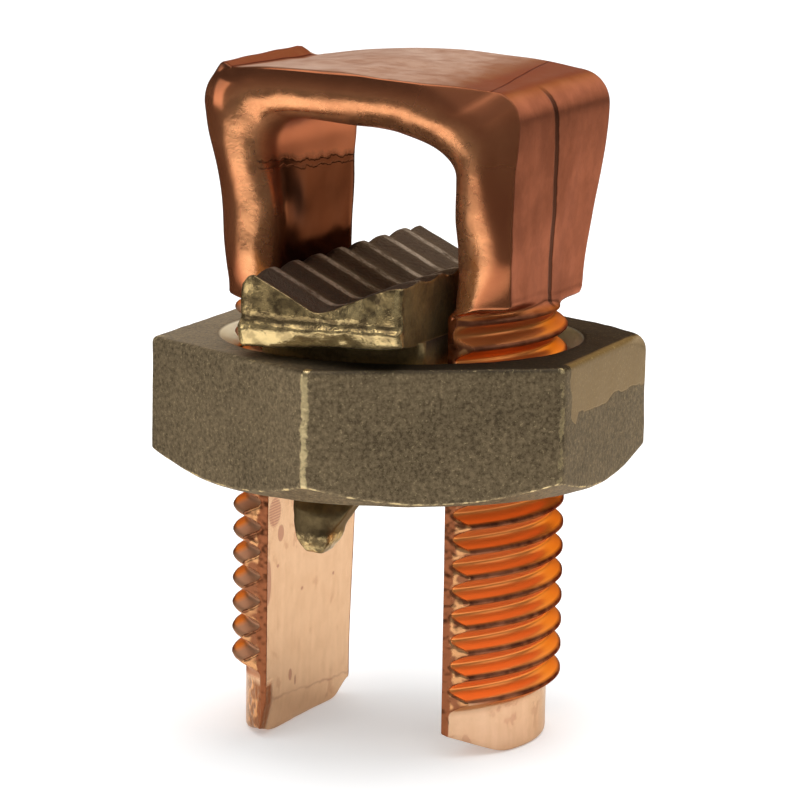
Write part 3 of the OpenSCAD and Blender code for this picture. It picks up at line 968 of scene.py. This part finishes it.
# The tips keep gilt: rubbed metal with painted glints.
for key, share in (("serrated", 0), ("groove", 0), ("lip", 0), ("hammer", 1), ("gilt", 0.75)):
    values = np.zeros(len(joined.vertices), np.float32)
    joined.attributes[key].data.foreach_get("value", values)
    joined.attributes[key].data.foreach_set("value", np.where(hanging, share * tip, values))
print("bar joined:", len(joined.vertices), "points,", int(hanging.sum()), "below it")

# %% [markdown]
# ## Finishes
# All three metals share a few effects: a broad mottle of the patina, a fine cast grain, wear that
# breaks up along edges, and hair-thin scratches. Each effect is a shader node group with named
# inputs, so every material places it with values of its own. The masks that were stored on the
# points say where a surface is cut, threaded, dull or rubbed.

# %% Shader groups
def shader_group(name, inputs, outputs):
    """An empty shader group, a wire for each input, and its output node."""
    tree = bpy.data.node_groups.new(name, "ShaderNodeTree")
    for key, kind in outputs.items():
        tree.interface.new_socket(key, in_out="OUTPUT", socket_type=kind)
    for key, kind in inputs.items():
        tree.interface.new_socket(key, in_out="INPUT", socket_type=kind)
    start = tree.nodes.new("NodeGroupInput")
    finish = tree.nodes.new("NodeGroupOutput")
    return tree, {s.name: Wire(tree, s) for s in start.outputs if s.name}, finish.inputs


def noise_of(tree, vector, scale, detail, roughness):
    """A noise that all groups start from."""
    return make(tree, "ShaderNodeTexNoise", named={
        "Vector": vector, "Scale": scale, "Detail": detail, "Roughness": roughness})


def mottle_mask(tree, vector, scale, detail, low, high):
    """The mottle: 0 where its noise is below low, 1 where it is above high."""
    noise = noise_of(tree, vector, scale, detail, 0.6)
    return ((noise - low) / (high - low)).clamp()

# %% Four effects
mottle_group, given, result = shader_group(
    "mottle", {"Vector": VECTOR, "Scale": FLOAT, "Detail": FLOAT, "Low": FLOAT, "High": FLOAT},
    {"Mask": FLOAT})
mask = mottle_mask(mottle_group, given["Vector"], given["Scale"], given["Detail"],
                   given["Low"], given["High"])
feed(mottle_group, result["Mask"], mask)

grain_group, given, result = shader_group(
    "grain", {"Vector": VECTOR, "Scale": FLOAT}, {"Mask": FLOAT, "Height": FLOAT})
noise = noise_of(grain_group, given["Vector"], given["Scale"], 3.0, 0.7)
cells = make(grain_group, "ShaderNodeTexVoronoi", named={
    "Vector": given["Vector"], "Scale": given["Scale"] * 0.8})
feed(grain_group, result["Mask"], ((noise - 0.35) / 0.3).clamp())
feed(grain_group, result["Height"], noise * 0.6 + cells * 0.4)

wear_group, given, result = shader_group(
    "edge_wear", {"Vector": VECTOR, "Edge": FLOAT, "Scale": FLOAT, "Spread": FLOAT},
    {"Mask": FLOAT})
noise = noise_of(wear_group, given["Vector"], given["Scale"], 4.0, 0.65)
worn = (given["Edge"] + (noise - 0.5) * 1.6 - 1 + given["Spread"]) * 4.0
feed(wear_group, result["Mask"], worn.clamp())

scratch_group, given, result = shader_group(
    "scratches", {"Vector": VECTOR, "Scale": VECTOR, "Share": FLOAT}, {"Mask": FLOAT})
bent = make(scratch_group, "ShaderNodeVectorMath", given["Vector"], given["Scale"],
            operation="MULTIPLY")
noise = noise_of(scratch_group, bent, 1.0, 2.0, 0.5)
line = (noise - 0.5).math("ABSOLUTE")
feed(scratch_group, result["Mask"], ((given["Share"] - line) / given["Share"]).clamp())
print("shader groups:", [g.name for g in bpy.data.node_groups if g.type == "SHADER"])

# %% [markdown]
# A few short tools keep the materials readable: masks from the points, places in mm, the effects,
# colour blends, and soft steps and bands along a value.

# %% Material tools
def open_material(material):
    """The node tree of a material, its shader and its Object coordinates."""
    material.use_nodes = True
    tree = material.node_tree
    where = make(tree, "ShaderNodeTexCoord", out="Object")
    return tree, tree.nodes["Principled BSDF"], where


def masks_of(tree, *names):
    """The masks that were stored on the points under these names."""
    return [make(tree, "ShaderNodeAttribute", attribute_name=name, out="Fac") for name in names]


def places_mm(where):
    """The three Object coordinates in mm."""
    return [axis * (1 / MM) for axis in axes(where.tree, where)]


def place_group(group, where, out="Mask", **values):
    """One of the four effects, placed in the tree that the coordinates belong to."""
    values["Vector"] = where
    return make(where.tree, "ShaderNodeGroup", node_tree=group, named=values, out=out)


def mottle(where, scale, detail, low, high):
    """The mottle group with its four values."""
    return place_group(mottle_group, where, Scale=scale, Detail=detail, Low=low, High=high)

# %% Colour tools
def blend(share, a, b):
    """Colour a, going over to colour b by the share."""
    tree = share.tree
    node = tree.nodes.new("ShaderNodeMix")
    node.data_type = "RGBA"
    feed(tree, node.inputs[0], share)
    for socket, value in ((node.inputs[6], a), (node.inputs[7], b)):
        feed(tree, socket, value if isinstance(value, Wire) else (*value, 1))
    return Wire(tree, node.outputs[2])


def over(value, edge, soft):
    """0 below the edge, 1 above it, with a soft step."""
    return ((value - edge) / soft).clamp()


def band(value, half, soft):
    """1 where the value is within half of zero, fading out over soft."""
    return ((-value.math("ABSOLUTE") + half + soft) / soft).clamp()


def finish_metal(tree, shader, color, roughness, height, depth):
    """Feeds the shader; depth is the height of the bumps in metres."""
    feed(tree, shader.inputs["Base Color"], color)
    feed(tree, shader.inputs["Roughness"], roughness)
    bumps = make(tree, "ShaderNodeBump", named={"Height": height, "Distance": depth})
    feed(tree, shader.inputs["Normal"], bumps)

# %% [markdown]
# ### Forged copper
# The head is brown, with a painted highlight along the rolled edges that is brightest low on the
# columns, and a painted dark reflection on the upper near face of the arch and at its right corner.
# The inside of the left column has painted shade below a fold line and painted light above it. The
# end face is duller and redder; the top is a scuffed pale tan. The slot faces were cut after
# forging and stay pale pink with a few dark stains. In the threads the grooves are painted a clean
# deep orange, a painted reflection of the light that bounces from flank to flank, and the thread
# between nut and head is painted darker as shade, while the crests are rubbed dull and brown.

# %% Copper masks
tree, shader, where = open_material(copper)
x, y, z = places_mm(where)
groove, thread, pale = masks_of(tree, "groove", "thread", "pale")
end_face, top_face, window, rolled, brow = masks_of(
    tree, "end_face", "top_face", "window", "rolled", "brow")
PATINA, BLOTCH = (230.0, 3.0, 0.36, 0.66), (900.0, 3.0, 0.4, 0.62)
patina, blotch = mottle(where, *PATINA), mottle(where, *BLOTCH)
dents = mottle(where, 520.0, 1.0, 0.2, 0.8)
lumps = mottle(where, 1500.0, 1.0, 0.25, 0.75)
fleck = place_group(grain_group, where, Scale=5200.0)
hair = place_group(scratch_group, where, Scale=(500.0, 6000.0, 300.0), Share=0.06)
streak = place_group(scratch_group, where, Scale=(300.0, 1100.0, 70.0), Share=0.3)
left = (-x).clamp()
leg_side = over(y.math("ABSOLUTE"), 6.76, 0.06) * over(z, 24.6, 0.8).rest()
foot_corner = over(-x, 6.3, 0.2) * over(-y, 4.0, 1.6)
foot_side = over(-y, 5.7, 0.4).math("MAXIMUM", foot_corner)
leg_side = leg_side.math("MAXIMUM", foot_side * over(z, 3.2, 0.4).rest() * left)
print("copper masks:", len(tree.nodes), "nodes")

# %% Copper head
BROWN, COPPER, GLOW = (0.55, 0.175, 0.074), (0.73, 0.258, 0.11), (0.98, 0.45, 0.20)
END_RED, END_DARK = (0.46, 0.155, 0.08), (0.34, 0.11, 0.057)
TOP_TAN, TOP_BROWN = (0.55, 0.34, 0.23), (0.34, 0.13, 0.07)
INSIDE_SHADE, INSIDE_LIT, LINE = (0.11, 0.035, 0.02), (0.64, 0.21, 0.095), (0.07, 0.026, 0.017)
DARK_REFLECTION = (0.15, 0.052, 0.026)


def tan_of(patina, blotch):
    """How tan the top is: mottled, and brown towards its right end and beside the lip."""
    lip_side = over(-x, 7.5, 0.3) * over(-y, -5.4, 0.6)
    brown = (over(x, 3.5, 3.0) + lip_side).clamp()
    return (blotch * 0.25 + patina * 0.3 + 0.45) * (brown * -0.85 + 1.0)


fold = z + y * 0.073 - 34.2 + (patina - 0.5) * 0.3 + (blotch - 0.5) * 0.16
# The inside of the left column: painted shade below the fold line, painted light above it.
lit_above_fold = window * left * over(fold, 0.0, 0.4)
folds = (band(fold, 0.03, 0.06) + band(fold + 0.38, 0.02, 0.05)).clamp() * window * left
parting = band(y + z * 0.1304 - 3.86 + (blotch - 0.5) * 0.06, 0.2, 0.18)
parting = parting * end_face * (left * -0.6 + 1.0)
lip_foot = band(x + 8.0, 0.03, 0.08) * over(-y, -5.4, 0.6) * top_face
crack = band(x + y * 0.1068 - 7.13, 0.03, 0.05) * top_face

color = blend(patina * 0.7 + blotch * 0.3, BROWN, COPPER)
# Painted highlight: the rolled edges take the highlight colour GLOW, more of it below z 34 mm, low
# on the columns.
wear_and_highlight = over(-z, -34.0, 5.0)
highlight_share = (patina * 0.35 + fleck * 0.25 + wear_and_highlight * 0.3 + 0.3).clamp()
color = blend(rolled * highlight_share, color, GLOW)
# Painted shade and painted light on the inside of the left column.
inside = window * left * rolled.rest()
color = blend(inside, color, blend(lit_above_fold, INSIDE_SHADE, INSIDE_LIT))
color = blend(end_face, color, blend(blotch * 0.6 + patina * 0.4, END_DARK, END_RED))
color = blend(top_face, color, blend(tan_of(patina, blotch), TOP_BROWN, TOP_TAN))
# Painted dark reflection on the upper near face of the arch, and painted shade over a bright
# reflection at the head's upper right corner.
near_side = (end_face + top_face + rolled).clamp().rest()
corner = over(x, 3.4, 3.2) * over(z, 34.6, 2.8) * near_side
color = blend((brow * 0.75).math("MAXIMUM", corner * 0.5), color, DARK_REFLECTION)
lines = (parting + crack * 0.6 + folds * 0.6 + lip_foot * 0.7).clamp()
color = blend(lines, color, LINE)
print("with the head:", len(tree.nodes), "nodes")

# %% [markdown]
# The slot faces carry a few dried stains. Each one is an oval in y and z on the left leg; the big
# one is hatched with fine lines, as a drop leaves them when it dries on a brushed face. The thin
# side faces of the legs carry a strip of painted shade beside the slot, and are lumpy and bright
# next to the teeth.

# %% Copper legs
PINK, PINK_DARK = (0.74, 0.48, 0.30), (0.62, 0.37, 0.215)
STRIP_SHADE, LUMP, LUMP_DARK = (0.30, 0.10, 0.042), (0.72, 0.35, 0.15), (0.30, 0.11, 0.05)
CREST, CREST_DARK, GROOVE = (0.30, 0.11, 0.055), (0.11, 0.036, 0.019), (0.98, 0.34, 0.09)
TOOTH, STAIN, STAIN_RIM = (0.54, 0.29, 0.165), (0.33, 0.12, 0.085), (0.50, 0.25, 0.15)


def spot(y0, z0, half_y, half_z):
    """Oval mark at a place on the slot face."""
    v, w = (y - y0) / half_y, (z - z0) / half_z
    return ((v * v + w * w) * -3.0 + 3.0).clamp()


HATCH_STEP = 0.17
SMALL_STAINS = ((-4.85, 12.26, 0.5, 0.55), (-1.36, 8.21, 0.22, 0.12), (3.71, 8.15, 0.2, 0.12),
                (-5.25, 10.33, 0.2, 0.12), (-3.0, 3.2, 0.3, 0.4), (-2.2, 2.7, 0.15, 0.35),
                (-6.7, 9.6, 0.5, 1.5))
hatch = (z * (2 * math.pi / HATCH_STEP)).math("SINE") * 0.5 + 0.5
stains = spot(-5.8, 13.7, 1.0, 0.95) * (hatch * 0.6 + 0.4)
for oval in SMALL_STAINS:
    stains = stains + spot(*oval) * 0.8
stains = stains.clamp() * left * pale
cut_face = blend(blotch * 0.35 + streak * 0.45, PINK, PINK_DARK)
flecks = over(blotch * 0.5 + patina * 0.5, 0.78, 0.12) * 0.5
cut_face = blend(flecks, cut_face, STAIN_RIM)
saw_high, saw_skew = FOOT_CUT[-1][:2]
saw_line = band(z + (y + LEG_Y) * saw_skew - saw_high + (blotch - 0.5) * 0.16, 0.03, 0.08)
saw_line = saw_line * left * over(x, -6.1, 0.1) * (patina * 0.7 + 0.3)
cut_face = blend(saw_line * 0.55, cut_face, STAIN)
color = blend(pale, color, blend(stains * 0.85, cut_face, STAIN))
cut_thread = thread * pale.rest()
# The grooves' deep orange is a painted reflection of the light bounced between the flanks.
deep = ((groove - 0.07) * 4.5).clamp()
thread_color = blend(deep, blend(blotch, CREST_DARK, CREST), GROOVE)
# Painted shade: the thread between the nut and the head is darker.
thread_color = blend(over(z, 23.4, 1.0) * 0.4, thread_color, CREST)
dull = left * over(-y, 4.0, 1.5)
color = blend(cut_thread, color, blend(dull, thread_color, TOOTH))
# Painted shade: a dark strip on the leg sides beside the slot.
shaded_strip = over(-x.math("ABSOLUTE") + (blotch - 0.5) * 0.25, -6.25, 0.12)
side_color = blend(shaded_strip, blend(over(lumps, 0.4, 0.25), LUMP_DARK, LUMP), STRIP_SHADE)
color = blend(leg_side, color, side_color)
print("with the legs:", len(tree.nodes), "nodes")

# %% [markdown]
# At a flat angle a plain metal shader turns white. The Specular Tint says what colour is left
# there, so the top stays tan and the threads stay orange right to their outline. The groups feed
# only what an export can bake, and a tint isn't, so its mottle is made again of plain nodes.

# %% Copper surface
roughness = patina * -0.05 + 0.22 + end_face * 0.2 + top_face * 0.18 + lit_above_fold * 0.18
roughness = roughness + pale * 0.05 + rolled * (lumps * 0.14 + 0.01) + corner * 0.3
roughness = roughness + (deep * -0.14 + 0.42 + dull * 0.1 - roughness) * cut_thread
roughness = roughness + (shaded_strip * 0.1 + 0.2 - roughness) * leg_side
marks = (top_face + end_face * 0.6 + pale * 0.6).clamp()
lumpy = leg_side * 9.0 + rolled * (wear_and_highlight * 1.6 + 1.2)
height = dents + (fleck * 0.15 - hair * 0.4) * marks + lumps * lumpy
height = height + fleck * rolled * 0.6
height = height - folds * 1.2 - (parting * 1.5 + crack) * 4.0 - lip_foot * 3.0
finish_metal(tree, shader, color, roughness, height, 0.000007)
TINT, TINT_INSIDE, TINT_TAN, TINT_BROWN, TINT_PALE, TINT_THREAD = (
    (0.82, 0.58, 0.5), (0.62, 0.5, 0.45), (0.75, 0.66, 0.6), (0.22, 0.12, 0.085),
    (0.82, 0.72, 0.6), (0.66, 0.29, 0.13))
tint = blend(inside, TINT, TINT_INSIDE)
plain_tan = tan_of(mottle_mask(tree, where, *PATINA), mottle_mask(tree, where, *BLOTCH))
tint = blend(top_face, tint, blend(plain_tan, TINT_BROWN, TINT_TAN))
tint = blend(pale, tint, TINT_PALE)
tint = blend(cut_thread * dull.rest(), tint, TINT_THREAD)
feed(tree, shader.inputs["Specular Tint"], tint)
metallic = cut_thread * -0.3 + over(z, NECK_Z, 0.5) * -0.1 + 1.0
feed(tree, shader.inputs["Metallic"], metallic)
shader.inputs["Specular IOR Level"].default_value = 0.0
print("copper with", len(tree.nodes), "nodes")

# %% [markdown]
# ### Nut and bar bronze
# The nut is a dull olive casting with a fine speckle. Its corners are rubbed to gold in a broken
# line, and the front corner also carries a painted highlight; the right part of its top carries a
# painted shadow of the bar and head, and the turned countersink and bore are bare metal.

# %% Nut bronze
tree, shader, where = open_material(nut_bronze)
x, y, z = places_mm(where)
edge, bore = masks_of(tree, "edge", "bore")
speckle = place_group(grain_group, where, Scale=4200.0)
speckle_height = place_group(grain_group, where, "Height", Scale=3600.0)
patina = mottle(where, 180.0, 4.0, 0.35, 0.7)
ragged = mottle(where, 420.0, 1.0, 0.3, 0.7)
wear_and_highlight = place_group(wear_group, where, Edge=edge, Scale=1500.0, Spread=0.42)
sparkle = over(place_group(grain_group, where, Scale=6500.0), 0.88, 0.12)
OLIVE, OLIVE_DARK = (0.31, 0.23, 0.13), (0.085, 0.062, 0.035)
GOLD, BRIGHT, PATCH = (0.78, 0.61, 0.32), (0.88, 0.83, 0.66), (0.38, 0.255, 0.12)
drip = band(y + 5.7, 0.3, 0.5) * 0.6
scrape_line = z + y * 0.0315 - 21.03 + (ragged - 0.5) * 0.5 + drip
patch = over(x, 12.4, 0.2) * over(scrape_line, 0.0, 0.08)
patch = patch * over(y + (ragged - 0.5) * 0.6, -6.4, 0.1)
NUT_TINT, SHADE, TINT_SHADE = (0.62, 0.5, 0.36), (0.055, 0.044, 0.032), (0.27, 0.23, 0.2)
color = blend(speckle * 0.75 + patina * 0.25, OLIVE_DARK, OLIVE)
# Painted shadow of the bar and head on the right part of the nut's top, also fed to its tint and
# metallic.
shade = over(z, 23.75, 0.15) * over(x, -4.0, 6.0)
color = blend(shade * 0.8, color, SHADE)
feed(tree, shader.inputs["Specular Tint"], blend(shade, NUT_TINT, TINT_SHADE))
color = blend(patch * 0.75, color, PATCH)
color = blend(wear_and_highlight.math("MAXIMUM", sparkle * 0.3), color, GOLD)
color = blend(bore, color, BRIGHT)
feed(tree, shader.inputs["Metallic"], (wear_and_highlight * 0.4 + bore + shade * 0.45 + 0.55).clamp())
roughness = (wear_and_highlight + bore) * -0.2 + 0.52 + speckle * 0.06 - patch * 0.06
height = speckle_height - band(scrape_line, 0.02, 0.1) * patch * 0.6
finish_metal(tree, shader, color, roughness, height, 0.00004)
print("nut bronze with", len(tree.nodes), "nodes")

# %% [markdown]
# The bar is a darker casting: hammered and glossy on its ends, rubbed to gold along the lip, with
# painted glints on the right half of each end, painted shade in the crease over the lip and on the
# prongs under the nut, and dull and nearly black between the ridges of the saddle, whose ridges
# carry a painted highlight.

# %% Bar bronze
tree, shader, where = open_material(bar_bronze)
z = places_mm(where)[2]
gilt, groove, serrated, hammer, lip = masks_of(
    tree, "gilt", "groove", "serrated", "hammer", "lip")
shader.inputs["Metallic"].default_value = 0.8
dents = place_group(grain_group, where, "Height", Scale=1400.0)
speckle = place_group(grain_group, where, Scale=4200.0)
patina = mottle(where, 420.0, 4.0, 0.35, 0.68)
wear_and_highlight = place_group(wear_group, where, Edge=gilt, Scale=1100.0, Spread=0.4)
BAR_OLIVE, BAR_DARK, PRONG_SHADE = (0.70, 0.50, 0.22), (0.13, 0.088, 0.044), (0.11, 0.076, 0.036)
SERRATION, RIDGE_HIGHLIGHT, BAR_GOLD = (0.09, 0.062, 0.044), (0.42, 0.34, 0.265), (0.78, 0.58, 0.27)
shader.inputs["Specular Tint"].default_value = (0.6, 0.46, 0.32, 1)
scales = mottle(where, 1300.0, 2.0, 0.42, 0.6)
# Painted shade in the crease above the lip.
crease_shade = band(z - NUT_TOP - LIP_TOP - 0.05, 0.1, 0.25) * hammer
mix = patina * 0.45 + speckle * 0.2 + (scales * 0.7 - 0.35) * hammer + 0.15
color = blend(mix.clamp() * (crease_shade * -0.85 + 1.0), BAR_DARK, BAR_OLIVE)
# Painted shade on the prongs below the nut.
color = blend(over(-z, -16.6, 0.8) * 0.85, color, PRONG_SHADE)
# Painted highlight along the ridges of the saddle.
ridge_highlight = (groove * -18.0 + 1.0).clamp() * over(speckle * 0.4 + patina * 0.6, 0.2, 0.6)
color = blend(serrated, color, blend(ridge_highlight, SERRATION, RIDGE_HIGHLIGHT))
# Rubbed gold, with the painted highlights and glints of the gilt mask.
wear_and_highlight = (wear_and_highlight + lip * 0.8).clamp() * (scales * 0.55 + 0.45)
color = blend(wear_and_highlight * serrated.rest(), color, BAR_GOLD)
roughness = patina * -0.05 + 0.42 - wear_and_highlight * 0.2 - hammer * 0.12 + serrated * 0.14
height = dents * (hammer * 2.5 + 1.0) + speckle * (serrated * 1.2 + 0.3)
finish_metal(tree, shader, color, roughness, height, 0.00003)
print("bar bronze with", len(tree.nodes), "nodes")

# %% Smooth faces
for piece in (bolt, nut, bar):
    piece.data.polygons.foreach_set("use_smooth", np.ones(len(piece.data.polygons), bool))
    print(piece.name, "wears", [m.name for m in piece.data.materials])

# %% [markdown]
# ## Floor and light
# A pale floor and large soft lights are enough, but polished metal shows what lies round it. If all
# of that were white, the copper would look flat. So the floor answers mirror rays with white along
# a strip under the object and with dark grey beside it, and the camera sees it pale all over.

# %% Floor
FLOOR_HALF = 1.6
floor_mesh = bpy.data.meshes.new("floor")
floor_mesh.from_pydata([(-FLOOR_HALF, -FLOOR_HALF, 0), (FLOOR_HALF, -FLOOR_HALF, 0),
                        (FLOOR_HALF, FLOOR_HALF, 0), (-FLOOR_HALF, FLOOR_HALF, 0)], [],
                       [(0, 1, 2, 3)])
floor = bpy.data.objects.new("floor", floor_mesh)
bpy.context.scene.collection.objects.link(floor)
pale_floor = bpy.data.materials.new("pale_floor")
tree, shader, where = open_material(pale_floor)
FLOOR_LOOK = {"Base Color": (0.9, 0.9, 0.9, 1), "Roughness": 0.9, "Specular IOR Level": 0.0,
              "Emission Color": (1, 1, 1, 1), "Emission Strength": 0.3}
for key, value in FLOOR_LOOK.items():
    shader.inputs[key].default_value = value
print("floor", 2 * FLOOR_HALF, "m wide")

# %% Floor in mirror rays
room = tree.nodes.new("ShaderNodeBsdfDiffuse")
room.inputs["Color"].default_value = (0.055, 0.052, 0.05, 1)
SHEET_A, SHEET_HALF, SHEET_EDGE = math.radians(20), 0.026, 0.03
SHEET_FRONT, SHEET_BACK = -0.08, 0.32
x, y, z = axes(tree, where)
forth = x * math.sin(SHEET_A) + y * math.cos(SHEET_A)
aside = (x * math.cos(SHEET_A) - y * math.sin(SHEET_A)).math("ABSOLUTE")
far = over(aside, SHEET_HALF, SHEET_EDGE)
far = far.math("MAXIMUM", over(-forth, -SHEET_FRONT, SHEET_EDGE))
far = far.math("MAXIMUM", over(forth, SHEET_BACK, SHEET_EDGE))
mirror = make(tree, "ShaderNodeLightPath", out="Is Glossy Ray")
choice = tree.nodes.new("ShaderNodeMixShader")
feed(tree, choice.inputs[0], far * mirror)
tree.links.new(shader.outputs[0], choice.inputs[1])
tree.links.new(room.outputs[0], choice.inputs[2])
tree.links.new(choice.outputs[0], tree.nodes["Material Output"].inputs["Surface"])
floor_mesh.materials.append(pale_floor)
print("white strip", 2 * SHEET_HALF, "m wide")

# %% [markdown]
# Four soft lights are mirrored in the metal. The fill only brightens the floor and the dull
# surfaces, so it leaves no spot on the polished ones.

# %% Lights
world = bpy.data.worlds.new("studio")
world.use_nodes = True
world.node_tree.nodes["Background"].inputs["Color"].default_value = (0.95, 0.97, 1.0, 1)
world.node_tree.nodes["Background"].inputs["Strength"].default_value = 0.14
bpy.context.scene.world = world


def softbox(name, place, size, radiance, mirrored=True):
    """A rectangular soft light that looks at the object and is as bright as the radiance."""
    lamp = bpy.data.lights.new(name, "AREA")
    lamp.shape = "RECTANGLE"
    lamp.size, lamp.size_y = size
    lamp.energy = radiance * size[0] * size[1] * math.pi
    box = bpy.data.objects.new(name, lamp)
    box.location = place
    box.rotation_euler = (AIM - Vector(place)).to_track_quat("-Z", "Y").to_euler()
    box.visible_camera = False
    box.visible_glossy = mirrored
    bpy.context.scene.collection.objects.link(box)
    print(name, round(lamp.energy, 2), "W")


softbox("top_light", (0.02, 0.12, 0.52), (0.5, 0.5), 2.6)
softbox("back_light", (-0.1, 0.75, 0.35), (1.4, 0.55), 1.1)
softbox("left_light", (-0.48, -0.22, 0.16), (0.3, 0.34), 1.4)
softbox("right_light", (0.5, 0.12, 0.3), (0.3, 0.34), 0.9)
softbox("front_fill", (0.05, -0.55, 0.75), (0.9, 0.9), 1.8, mirrored=False)
bpy.context.scene.view_settings.view_transform = "Standard"

# %% [markdown]
# ## Hand over
# Each piece rides on its body and stands for its imported solid.

# %% Hand over
for piece, body, node, slot in (
        (bolt, "bolt", "split_bolt", "copper"),
        (nut, "nut", "hex_nut", "nut_bronze"),
        (bar, "bar", "pressure_bar", "bar_bronze")):
    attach(piece, body)
    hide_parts(node)
